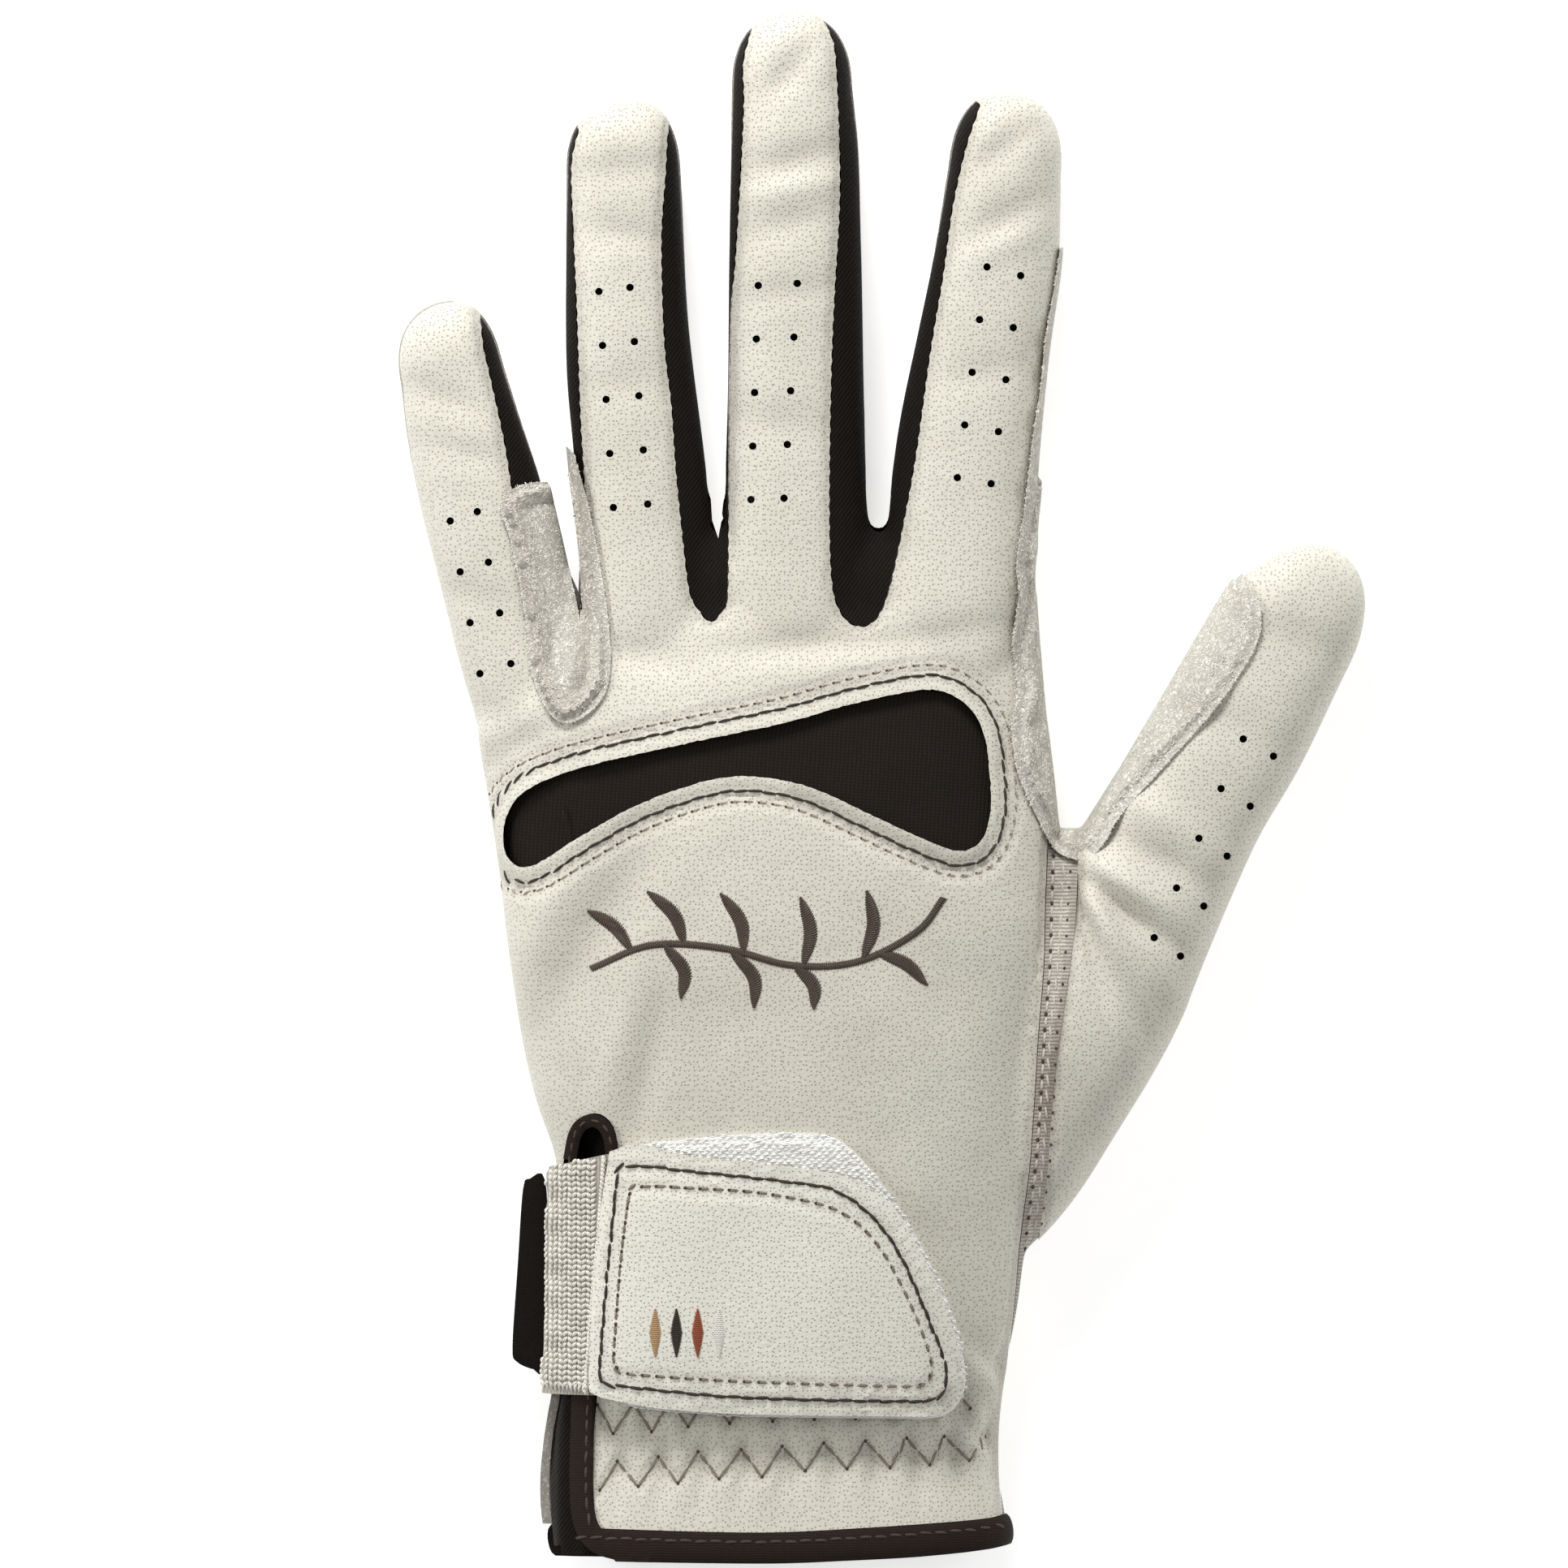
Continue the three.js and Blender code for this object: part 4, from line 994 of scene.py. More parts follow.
# %% Model the two patches
REIN_CROTCH = (-31.2, 124.5)
PATCH_FLOOR = 3.2
REIN_GAP_FOOT = 3.0


def rein_relief(points, _):
    """A rolled rim, pleats that fan from the crotch and a slack middle."""
    x, y = points[:, 0], points[:, 1]
    rim = distance_to(points, rein_outline, True, 5)
    move = 0.6 * bell(rim - 1.2, 0.95) - 0.35 * bell(rim - 2.9, 0.8)
    turn = np.arctan2(x - REIN_CROTCH[0], y - REIN_CROTCH[1])
    reach = np.hypot(x - REIN_CROTCH[0], y - REIN_CROTCH[1])
    pleats = np.cos(turn * 15 + 0.6) * bell(reach - 9.5, 5) * ramp(rim, 0, 3)
    slack = slow_noise(points, 5, 8, 1)
    valley = bell(x + 31.0, 0.9) * bell(y - 144, 6)
    return move + 0.4 * pleats + 0.15 * slack - 0.9 * valley


rein_patch = sheet_piece("rein_patch", rein_outline, low=0.1, high=1.15, relief=rein_relief,
                         floor=PATCH_FLOOR, round_edge=(0.55, 0.5))
rein_gap = np.array([(-36.4, 167), (-35.2, 162), (-33.6, 155), (-32.5, 150), (-31.5, 146), (-30.9, 142.6),
                     (-30.7, 146), (-31.0, 152), (-31.7, 158), (-32.6, 164), (-33.0, 167)])
for piece in (rein_patch, fork_pieces["little_ring"]):
    cut(piece, [cutter(rein_gap, REIN_GAP_FOOT, HIGH)])
rein_light = np.array([(-34.3, 158), (-33.6, 155), (-32.5, 150), (-31.2, 147), (-31.0, 152), (-31.7, 158)])
middle_gap = np.array([(-11.3, 168), (-11.2, 162.8), (-10.9, 157.8), (-9.95, 155.0), (-9.5, 157.8),
                       (-9.0, 162.8), (-8.8, 168)])
cut(palm_leather, [cutter(rein_light), cutter(middle_gap)])
cut(fork_pieces["ring_middle"], [cutter(middle_gap)])


def thumb_patch_relief(points, directions):
    """A curled, scalloped rim beside the index finger, flat beside the thumb."""
    upper = np.clip((directions[:, 2] + 0.05) * 1.8, 0, 1)
    x, y = points[:, 0], points[:, 1]
    rim = distance_to(points, thumb_patch, False, 8)
    curl = ramp(y, 112, 124) * ramp(x, 62, 54) * ramp(y, 200, 186)
    beat = 0.5 + 0.5 * np.sin(y * 0.78 + 1.3 * np.sin(y * 0.21))
    roll = 0.9 * bell(rim - 1.1, 0.95) * (0.35 + 0.65 * beat)
    furrow = 0.5 * bell(rim - 2.8, 0.9) * (0.4 + 0.6 * beat)
    move = curl * (roll - furrow)
    move -= (1 - curl) * 0.3 * bell(rim - 2.1, 0.7)
    folds_across = np.sin(y * 0.62 + 0.35 * x + 2.0 * np.sin(y * 0.13)) * bell(rim - 4.5, 2.6) * curl
    slack = slow_noise(points, 7, 7, 5)
    return (move + 0.22 * folds_across + 0.12 * slack * ramp(rim, 0, 3)) * upper


thumb_patch_piece = sheet_piece("thumb_patch", thumb_patch_outline, low=0.1, high=1.1,
                                relief=thumb_patch_relief, floor=PATCH_FLOOR, round_edge=(0.5, 0.5))
print("patches:", len(rein_patch.data.polygons), "and", len(thumb_patch_piece.data.polygons), "faces")

# %% [markdown]
# ## The closing strap
#
# A leather tab closes the wrist. Hooks under it hold the white pile of the loop patch, and a wide knit
# elastic carries it from the outer edge. Each is a sheet at its own height, from the pile at the bottom to
# the tab on top.

# %% Model pile, hooks, elastic and tab
loop_outline = clockwise(np.vstack([
    curve([(-24, 63.2), (-19, 63.8), (-8, 64.9), (0, 65.2), (6.5, 64.8), (9.4, 63.4), (12.4, 60.4),
           (16.4, 55.4)]),
    offset(curve([(18.2, 51.8), (20.2, 48.2), (22.4, 43.8), (24.2, 39.6), (25.8, 35.0), (26.8, 30.4),
                  (26.9, 27.0), (26.0, 24.6), (24.3, 23.0), (21.4, 22.4), (14.7, 22.5), (-5.5, 22.8),
                  (-19.2, 23.7)]), 0.45),
    [(-24, 24)],
]))
loop_patch = sheet_piece("loop_patch", loop_outline, low=0.0, high=1.1, round_edge=(0.35, 0.4))
hook_patch = sheet_piece("hook_patch", grown(tab, -3.0), low=1.4, high=2.3, round_edge=(0.1, 0.5))
elastic_outline = clockwise(np.array([(-60, 26), (-24, 25.4), (-24, 62.2), (-27, 61.9), (-31, 61.0),
                                      (-35.6, 59.8), (-60, 58.5)]))


def elastic_relief(points, _):
    """Small bulges between the rubber threads of the elastic."""
    return 0.18 * np.sin(points[:, 1] * 1.1 + 0.6) * np.sin(points[:, 0] * 0.9)


elastic_strap = sheet_piece("elastic_strap", elastic_outline, low=0.5, high=1.7, relief=elastic_relief,
                            floor=2.6, round_edge=(0.4, 0.6))


def tab_relief(points, _):
    """Two rows that pull the tab in, and a slack middle."""
    move = -0.3 * beside(points, tab_dark, 0.7, closed=True, reach=3)
    move -= 0.2 * beside(points, tab_thin, 0.6, closed=True, reach=3)
    return move + 0.3 * slow_noise(points, 14, 14, 9)


closure_tab = sheet_piece("closure_tab", tab, low=2.5, high=3.8, relief=tab_relief, round_edge=(0.4, 1.1))
print("tab:", len(closure_tab.data.polygons), "faces")

# %% [markdown]
# ## Binding and label
#
# A dark tape is folded over the cut edge of the cuff and runs on up the right side of the vent. Its section
# is a half round, so its height above the form follows a circle across its width.

# %% Model the binding and the small label
BINDING_HEIGHT = 0.75
BINDING_DEPTH = 1.5
CUFF_REACH = 72
RIM_REACH = 1.8
CROWN_REACH = 1.0
CORNER_SEAM = 8
CORNER_FOOT = 6
LABEL_THICKNESS = 1.1
LABEL_ROUND = 0.3
vent_rim = curve([(-21.0, 2.3), (-25.0, 2.5), (-28.3, 3.7), (-30.1, 6.6), (-30.6, 12), (-30.5, 20),
                  (-30.2, 28)])
vent_crown = curve([(-25.9, 60), (-26.1, 63.6), (-27.0, 66.0), (-28.6, 67.0), (-30.4, 66.5), (-31.6, 64.8),
                    (-32.4, 61)])


def binding_relief(points):
    """How far the half round of the tape sinks below its crest."""
    top = np.interp(points[:, 0], cuff_top[:, 0], cuff_top[:, 1])
    foot = np.interp(points[:, 0], cuff_foot[:, 0], cuff_foot[:, 1])
    share = np.clip((points[:, 1] - foot) / (top - foot) * 2 - 1, -1, 1)
    on_rim = np.clip(1 - (distance_to(points, vent_rim, False, 4) / 1.9)**2, 0, 1)
    on_rim = np.maximum(on_rim, 0.7 * np.clip(1 - (distance_to(points, vent_crown, False, 4) / 1.1)**2, 0, 1))
    round_cuff = np.sqrt(1 - share**2)
    return BINDING_HEIGHT * (np.maximum(round_cuff * (np.abs(share) < 1), np.sqrt(on_rim)) - 1)


def band(line, reach):
    """The outline of a band on both sides of a line."""
    return np.vstack([offset(line, reach), offset(line, -reach)[::-1]])


cuff_band = np.vstack([cuff_top, cuff_foot[::-1]])
binding_form = duplicate(form, "cuff_binding")
near_cuff = FORM_POINTS[:, 1] < CUFF_REACH
points = FORM_POINTS.copy()
lift = BINDING_HEIGHT + binding_relief(FORM_POINTS[near_cuff])
points[near_cuff] += FORM_NORMALS[near_cuff] * lift[:, None]
set_points(binding_form, points)
cuff_binding = within(binding_form, "cuff_ring", cuff_band)
crown_piece = within(binding_form, "crown_piece", band(vent_crown, CROWN_REACH))
rim_piece = cut(binding_form, [cutter(band(vent_rim, RIM_REACH))], "INTERSECT")
cut(rim_piece, [cutter(whole_plan, LOW, CORNER_SEAM), cut_below(cuff_foot)])
beyond_corner = np.array([(-70, -20), (-70, 20), (-27.8, 20), (-27.8, 3.2), (-24.6, -0.4), (-24.6, -20)])
cut(cuff_binding, [cutter(beyond_corner, CORNER_FOOT, HIGH)])
cut(cuff_binding, [rim_piece], "UNION")
cut(crown_piece, [cutter(whole_plan, LOW, CORNER_SEAM)])
cut(cuff_binding, [crown_piece], "UNION")
cut(cuff_binding, [lifted(coarse_form, -BINDING_DEPTH, "binding_inner")])
cuff_binding.name = "cuff_binding"

label_low, label_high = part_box("side_label")
label_outline = curve([(-36.2, 57.6), (-38.6, 57.9), (-39.6, 56.4), (-40.4, 45), (-41.2, 32.6), (-40.6, 30.2),
                       (-38, 29.0), (-36.4, 29.2), (-35.8, 43)], closed=True)
label_middle = (label_low[2] + label_high[2]) / 2 / MM
side_label = cutter(label_outline, label_middle - LABEL_THICKNESS / 2, label_middle + LABEL_THICKNESS / 2)
side_label.name = "side_label"
apply(side_label, "BEVEL", width=LABEL_ROUND * MM, segments=3)
print("binding:", len(cuff_binding.data.polygons), "faces; label at", round(label_middle, 1), "mm")

# %% [markdown]
# ## Stitches
#
# A stitch is a short length of thread that dips into the cloth at both ends. One is modelled as a small ball
# drawn out along its length and bent down at the ends, with few faces. It is copied to each place along a
# row, and a ray dropped from above finds how high the cloth is there and which way it faces.

# %% A small ball to draw out, and rays to find the cloth


def small_ball(sides, rings):
    """The points and faces of a ball with few faces."""
    bpy.ops.mesh.primitive_uv_sphere_add(segments=sides, ring_count=rings, radius=1)
    ball = bpy.context.object
    points = np.array([vertex.co[:] for vertex in ball.data.vertices])
    faces = [tuple(face.vertices) for face in ball.data.polygons]
    bpy.data.objects.remove(ball)
    return points, faces


ball_points, ball_faces = small_ball(sides=8, rings=6)
threads = {}
ROW_STEEPEST = 0.15


class Cloth:
    """The upper surface of some pieces, for dropping rays on."""

    def __init__(self, pieces):
        points, faces, start = [], [], 0
        for piece in pieces:
            here = points_of(piece)
            points.append(here)
            faces += [tuple(start + index for index in face.vertices) for face in piece.data.polygons]
            start += len(here)
        self.tree = BVHTree.FromPolygons([tuple(point) for point in np.vstack(points)], faces)

    def drop(self, x, y):
        """The height of the cloth at a place, and the way it faces there."""
        hit, normal, _, _ = self.tree.ray_cast(Vector((x, y, 70)), Vector((0, 0, -1)))
        if hit is None:
            return None, None
        return hit.z, normal


def stitch_points(centre, ahead, up, length, radius, bend=0.35):
    """The ball drawn out to one stitch, bent down at its ends."""
    ahead = ahead / np.linalg.norm(ahead)
    side = np.cross(up, ahead)
    side = side / np.linalg.norm(side)
    up = np.cross(ahead, side)
    along = np.sign(ball_points[:, 2]) * np.abs(ball_points[:, 2])**0.85 * length / 2
    rise = ball_points[:, 1] * radius - bend * (2 * along / length)**2
    return centre + along[:, None] * ahead + (ball_points[:, 0] * radius)[:, None] * side + rise[:, None] * up


def sew(name, stitches):
    """One piece from a list of stitches, kept under its name among the threads."""
    points = np.vstack(stitches)
    faces = []
    for index in range(len(stitches)):
        start = index * len(ball_points)
        faces += [tuple(start + corner for corner in face) for face in ball_faces]
    mesh = bpy.data.meshes.new(name)
    mesh.from_pydata([tuple(point) for point in (points - SHIFT) * MM], [], faces)
    piece = bpy.data.objects.new(name, mesh)
    bpy.context.collection.objects.link(piece)
    threads[name] = piece
    print(name + ":", len(stitches), "stitches")


def turned(way, angle):
    """A direction on the plan, turned to the left."""
    return np.array([way[0] * math.cos(angle) - way[1] * math.sin(angle),
                     way[0] * math.sin(angle) + way[1] * math.cos(angle)])


def stitch_on(cloth, spot, way, length, radius, lift, bend, steepest=-1.0):
    """A list of one stitch laid on the cloth, or of none where the cloth ends or is too steep."""
    height, normal = cloth.drop(*spot)
    if height is None or normal.z < steepest:
        return []
    up = np.array(normal)
    way = np.array([way[0], way[1], 0.0])
    way -= up * way.dot(up)
    return [stitch_points(np.array([spot[0], spot[1], height]) + up * lift, way, up, length, radius, bend)]


def row(cloth, line, pitch, length, radius, lift=0.1, bend=0.35, closed=False, turn=0.0, wobble=0.0,
        sway=0.0):
    """Stitches along a line on the cloth, each a little to one side of the last."""
    spots = even(np.array(line, float), pitch, closed)
    spots = spots + sideways(spots, closed) * sway * np.where(np.arange(len(spots)) % 2, 1, -1)[:, None]
    ahead = -np.column_stack([sideways(spots, closed)[:, 1], -sideways(spots, closed)[:, 0]])
    stitches = []
    for index, (spot, way) in enumerate(zip(spots, ahead)):
        angle = math.radians(turn) + wobble * noise.noise(Vector((index * 0.7, spot[0], spot[1])))
        stitches += stitch_on(cloth, spot, turned(way, angle), length, radius, lift, bend, ROW_STEEPEST)
    return stitches


back = Cloth([back_leather, knuckle_panel, thumb_back, strip_piece])
print("cloth to sew on:", len(back_leather.data.polygons), "faces of the back leather")

# %% [markdown]
# ## Rows round the knuckle window
#
# Two rows hold the leather to the panel: a thick dark thread close to the edge, and a thin paler one outside
# it whose needle holes show as dark dots. The dots are painted shadow: short dark stitches sunk almost flush,
# which stand for the shade inside each hole.

# %% Sew the window
THIN_PITCH = 2.05


def between(line, pitch):
    """The middles of the steps of a closed row, where its needle holes are."""
    return np.roll(even(line, pitch / 2, True), 1, axis=0)[::2]


sew("window_dark_thread", row(back, window_dark, pitch=2.15, length=2.55, radius=0.24, lift=0.05, bend=0.16,
                              closed=True, wobble=0.12, sway=0.05))
sew("window_pale_thread", row(back, window_thin, THIN_PITCH, length=1.8, radius=0.17, lift=0.04, bend=0.2,
                              closed=True, wobble=0.15))
# Painted shadows of the needle holes: short dark stitches sunk almost flush.
hole_shadow_rows = row(back, between(window_thin, THIN_PITCH), THIN_PITCH, length=0.5, radius=0.2, lift=-0.02,
                bend=0, closed=True)

# %% [markdown]
# ## Seam stitches of strip, patches and thumb
#
# Long pale stitches run in the leather along the strip's left edge, a linked row runs near the strip's middle
# and a row of small dots near its right edge. These dots, and those between the long stitches, are painted
# shadows of needle holes. Each patch is held by a fine row two millimetres inside its edge.

# %% Sew the strip and patches
STRIP_PITCH = 2.4
PATCH_PITCH = 1.7
PATCH_INSET = 2.1


def part_of(line, low, high):
    """The stretch of a line between two places along the glove."""
    return line[(line[:, 1] > low) & (line[:, 1] < high)]


strip_row = part_of(offset(strip_left[::-1], -0.9), 20, 106)
strip_middle = even(part_of(strip_left, 46, 107)[::-1], 0.5)
middle_shift = np.interp(strip_middle[:, 1], [46, 60, 80, 107], [1.9, 1.9, 1.7, 2.6])
strip_middle = strip_middle + np.column_stack([middle_shift, np.zeros(len(middle_shift))])
strip_third = strip_middle + [1.0, 0]
pale_rows = row(back, strip_row, STRIP_PITCH, length=2.05, radius=0.2, lift=0.05, bend=0.3)
pale_rows += row(back, strip_middle, STRIP_PITCH, length=2.2, radius=0.17, lift=0.05, bend=0.2, turn=12)
# Painted shadows of the needle holes between the long stitches and beside the middle row.
hole_shadow_rows += row(back, strip_row + [0, STRIP_PITCH / 2], STRIP_PITCH, length=0.7, radius=0.3, lift=-0.04,
                 bend=0)
hole_shadow_rows += row(back, strip_third, STRIP_PITCH, length=0.5, radius=0.22, lift=-0.04, bend=0)
patch_cloth = Cloth([rein_patch, thumb_patch_piece, back_leather, thumb_back])
patch_rows = []
for line in (offset(thumb_patch, PATCH_INSET), offset(rein_left, PATCH_INSET)[8:-8]):
    patch_rows += row(patch_cloth, line, PATCH_PITCH, length=1.35, radius=0.16, lift=0.0, bend=0.25)
print("seam rows:", len(pale_rows), "pale stitches,", len(patch_rows), "on the patches")

# %% [markdown]
# ## Zigzags at the wrist
#
# Each leg of a zigzag is a pair of stitches, laid so that they overlap as one, and the elastic behind it
# pulls its ends in. Two short ones follow the curved leather better than one long one. A dark dot, the
# painted shadow of the needle hole, marks each point where the needle went through.

# %% Sew the zigzags
LEG_SHARE = 0.56
HOLE_SINK = 0.02
leg_stitches = []
for corners in (zigzag_low, zigzag_high):
    for first, second in zip(corners[:-1], corners[1:]):
        length = np.linalg.norm(second - first) * LEG_SHARE
        for share in (0.26, 0.74):
            spot = first * (1 - share) + second * share
            leg_stitches += stitch_on(back, spot, second - first, length, radius=0.2, lift=0.1, bend=0.12)
    # A dark dot sunk at each corner is the painted shadow of its needle hole.
    for corner in corners:
        height, normal = back.drop(*corner)
        if height is not None:
            hole_shadow_rows.append(stitch_points(np.array([*corner, height - HOLE_SINK]), np.array([0.2, 1.0, 0.0]),
                                           np.array(normal), length=0.6, radius=0.26, bend=0))
sew("zigzag_thread", leg_stitches)

# %% [markdown]
# ## Rows on the tab, and on the tape
#
# The tab has a thick dark row round its rim and a row of separate greyish stitches inside it. The tape that
# binds the cuff is held by brown stitches near its inner edge. All rows of one thread become one piece.

# %% Sew the tab, the tape and the rest
GREY_PITCH = 2.2
TAPE_PITCH = 2.3
tab_cloth = Cloth([closure_tab])
sew("tab_dark_thread", row(tab_cloth, tab_dark, pitch=2.1, length=2.5, radius=0.27, lift=0.06, bend=0.16,
                           closed=True, wobble=0.12, sway=0.05))
grey_rows = row(tab_cloth, tab_thin, GREY_PITCH, length=1.85, radius=0.25, lift=0.04, bend=0.25, closed=True,
                wobble=0.1)
# Painted shadows of the needle holes between the grey stitches.
hole_shadow_rows += row(tab_cloth, between(tab_thin, GREY_PITCH), GREY_PITCH, length=0.7, radius=0.27, lift=-0.03,
                 bend=0, closed=True)
tape_cloth = Cloth([cuff_binding])
tape_row = offset(cuff_top[(cuff_top[:, 0] > -31) & (cuff_top[:, 0] < 36)], -1.3)
rim_row = offset(vent_rim[vent_rim[:, 1] > 6], -0.7)
tape_rows = row(tape_cloth, tape_row, TAPE_PITCH, length=2.2, radius=0.24, lift=0.0, bend=0.2, wobble=0.15,
                sway=0.05)
tape_rows += row(tape_cloth, rim_row, TAPE_PITCH, length=2.2, radius=0.24, lift=0.0, bend=0.2, wobble=0.15)
tape_rows += row(tape_cloth, vent_crown, pitch=2.0, length=1.7, radius=0.2, lift=0.0, bend=0.2, wobble=0.15)
# The needle hole dots are painted shadows, sewn as one dark piece.
for name, stitches in {"tape_thread": tape_rows, "grey_thread": grey_rows, "pale_thread": pale_rows,
                       "suede_thread": patch_rows, "hole_shadow_dots": hole_shadow_rows}.items():
    sew(name, stitches)

# %% [markdown]
# ## A sprig in satin stitch
#
# Satin stitch lays many short threads side by side across a line, so the line becomes a raised cord with a
# silky light along it. A plain sprig of leaves is drawn as curves, and the width of each swells and tapers.

# %% Embroider the sprig and the diamonds
SILK_SHARE = 0.62
SILK_BEND = 0.12
STEM_WIDTH = 1.3


def satin(cloth, line, width, pitch=0.34, slant=18, lift=0.1):
    """Threads laid across a line, as wide as its width says at each share of its length."""
    spots = even(curve(line), pitch)
    stitches = []
    for index, (spot, way) in enumerate(zip(spots, sideways(spots))):
        wide = width(index / max(1, len(spots) - 1))
        way = turned(way, math.radians(slant))
        stitches += stitch_on(cloth, spot, way, wide, pitch * SILK_SHARE, lift, wide * SILK_BEND)
    return stitches


def stem_width(_):
    return STEM_WIDTH


def leaf_width(share):
    """Widest near the middle of a leaf."""
    return 0.5 + 2.5 * math.sin(math.pi * min(1, share * 1.02))**0.8


def diamond_width(share):
    return 0.3 + 2.3 * (1 - abs(2 * share - 1))


stem = [(-29, 90), (-20, 93.5), (-9, 93), (1, 90.5), (11, 91), (20, 95.5), (24, 100.5)]
leaves = [
    [(-23, 92.8), (-25.5, 96.2), (-29.5, 98.6)], [(-15, 93.8), (-16.5, 98), (-20.5, 101.5)],
    [(-6, 92.6), (-6.5, 97), (-9.5, 101.2)], [(3, 90.6), (4, 95.5), (2.5, 100.6)],
    [(12, 91.6), (13.5, 96.5), (12.5, 101.6)],
    [(-18, 93.4), (-15, 89.6), (-15.5, 85.6)], [(-8, 92.6), (-4.5, 88.6), (-4.5, 84.2)],
    [(1.5, 90.5), (4.5, 87.4), (4.5, 84.0)], [(14, 92.4), (18.5, 90.6), (21.5, 87.6)],
]
satin_stitches = satin(back, stem, stem_width)
for leaf in leaves:
    satin_stitches += satin(back, leaf, leaf_width)
sew("sprig_thread", satin_stitches)
for name, x in {"tan": -19.4, "dark": -16.2, "rust": -13.0, "white": -9.8}.items():
    line = [(x, 31.6), (x, 35.0), (x, 38.6)]
    sew(name + "_diamond", satin(tab_cloth, line, diamond_width, pitch=0.3, slant=0, lift=0.06))

# %% [markdown]
# ## Knit loops and pile
#
# The elastic is a coarse knit: each of its stitches is a V of two plump legs, set in columns. The loop patch
# is a fleece of fine bright filaments, of which only a narrow rim shows round the tab.

# %% Knit the elastic and comb the pile
LOOP_WIDE = 1.42
LOOP_HIGH = 0.84
LOOP_HALF = 0.34
LOOP_STEEPEST = 0.12
PILE_WIDE = 1.15
PILE_HIGH = 0.52
elastic_cloth = Cloth([elastic_strap])
loops = []
for column in np.arange(-37.6, -28.4, LOOP_WIDE):
    for level in np.arange(27.2, 61.6, LOOP_HIGH):
        for side in (-1, 1):
            x = column + side * LOOP_HALF + 0.06 * math.sin(level * 1.7)
            loops += stitch_on(elastic_cloth, (x, level), (side * 0.8, 0.6), length=1.06, radius=0.31,
                               lift=0.16, bend=0.16, steepest=LOOP_STEEPEST)
selvage = curve([(-27.0, 61.4), (-27.8, 50), (-28.9, 38), (-29.7, 27.6), (-29.8, 26.2)])
loops += row(elastic_cloth, selvage, pitch=0.62, length=1.1, radius=0.34, lift=0.4, bend=0.1, turn=35)
foot_edge = [(-37.4, 26.9), (-33, 26.7), (-28.4, 26.5)]
loops += row(elastic_cloth, foot_edge, pitch=0.6, length=1.3, radius=0.25, lift=0.25, bend=0.2, turn=80)
sew("knit_loops", loops)
pile_cloth = Cloth([loop_patch])
pile = []
chance = np.random.default_rng(7)
hidden = grown(tab, -0.5)
for level in np.arange(22.6, 65.6, PILE_HIGH):
    for column in np.arange(-24.0, 28.0, PILE_WIDE):
        shifted = column + 0.57 * (round(level / PILE_HIGH) % 2)
        spot = np.array([shifted, level]) + chance.uniform(-0.12, 0.12, 2)
        if not inside(spot[None], loop_outline)[0] or inside(spot[None], hidden)[0]:
            continue
        height, normal = pile_cloth.drop(*spot)
        if height is None:
            continue
        for strand in (-0.09, 0.07):
            way = np.array([1.0, chance.uniform(-0.22, 0.22), chance.uniform(-0.1, 0.1)])
            start_at = np.array([spot[0], spot[1] + strand, height + chance.uniform(0.05, 0.2)])
            pile.append(stitch_points(start_at, way, np.array(normal), chance.uniform(0.85, 1.15), 0.11, 0.2))
sew("pile_filaments", pile)

# %% [markdown]
# ## Curls of the suede
#
# The patches are a towelled suede: short fine fibres lie over each other in all directions, and stand proud
# of the cut edge. A bump alone leaves the edge as smooth as plastic, so curls are scattered over the patches
# as geometry, and closer together along the edge. The scatter is seeded, so it comes out the same each time.

# %% Scatter the curls
CURLS_PER_MM2 = 4.2
THUMB_SIDE = 72
CURL_STEEPEST = 0.35
RIM_STEP = 0.16
ball_points, ball_faces = small_ball(sides=5, rings=4)
curls = []


def scatter(outline, count):
    """Places strewn over an outline."""
    low, high = outline.min(0), outline.max(0)
    spots = chance.uniform(low, high, (count * 4, 2))
    return spots[inside(spots, outline)][:count]


def add_curl(spot, length, thick):
    """One curl on a patch, lying any way round, where the patch faces up enough to be seen."""
    height, normal = patch_cloth.drop(*spot)
    if height is None or normal.z < CURL_STEEPEST:
        return
    turn = chance.uniform(0, math.pi)
    way = np.array([math.cos(turn), math.sin(turn), 0.0])
    up = np.array(normal)
    way += up * (chance.uniform(-0.15, 0.3) - way.dot(up))
    curls.append(stitch_points(np.array([*spot, height]), way, up, length, thick, bend=0.12))


for outline in (rein_outline, thumb_patch_outline):
    area = abs(double_area(outline)) / 2
    for spot in scatter(outline, int(area * CURLS_PER_MM2)):
        if spot[0] < THUMB_SIDE and (spot[0] - 42) < (spot[1] - 96):
            add_curl(spot, chance.uniform(0.45, 0.9), chance.uniform(0.08, 0.12))
for line in (thumb_patch, rein_left):
    for spot in even(line, RIM_STEP):
        add_curl(spot + chance.uniform(-0.3, 0.3, 2), chance.uniform(0.4, 0.8), chance.uniform(0.06, 0.1))
sew("suede_curls", curls)

# %% [markdown]
# ## Shared effects
#
# Leather, suede, knit and thread share a few effects: a slow mottle of tone, pores, a nap of fine fibres and
# the ribs of a knit. Each is a node group with named inputs, built once and used in every material with its
# own values. They read Object coordinates, so a pattern has its true size on every piece.

# %% Helpers for node trees


def new_group(name, inputs, outputs):
    """An empty node group with named number inputs and outputs."""
    group = bpy.data.node_groups.new(name, "ShaderNodeTree")
    for label, value in inputs.items():
        socket = group.interface.new_socket(label, in_out="INPUT", socket_type="NodeSocketFloat")
        socket.default_value = value
    for label in outputs:
        group.interface.new_socket(label, in_out="OUTPUT", socket_type="NodeSocketFloat")
    return group, group.nodes.new("NodeGroupInput"), group.nodes.new("NodeGroupOutput")


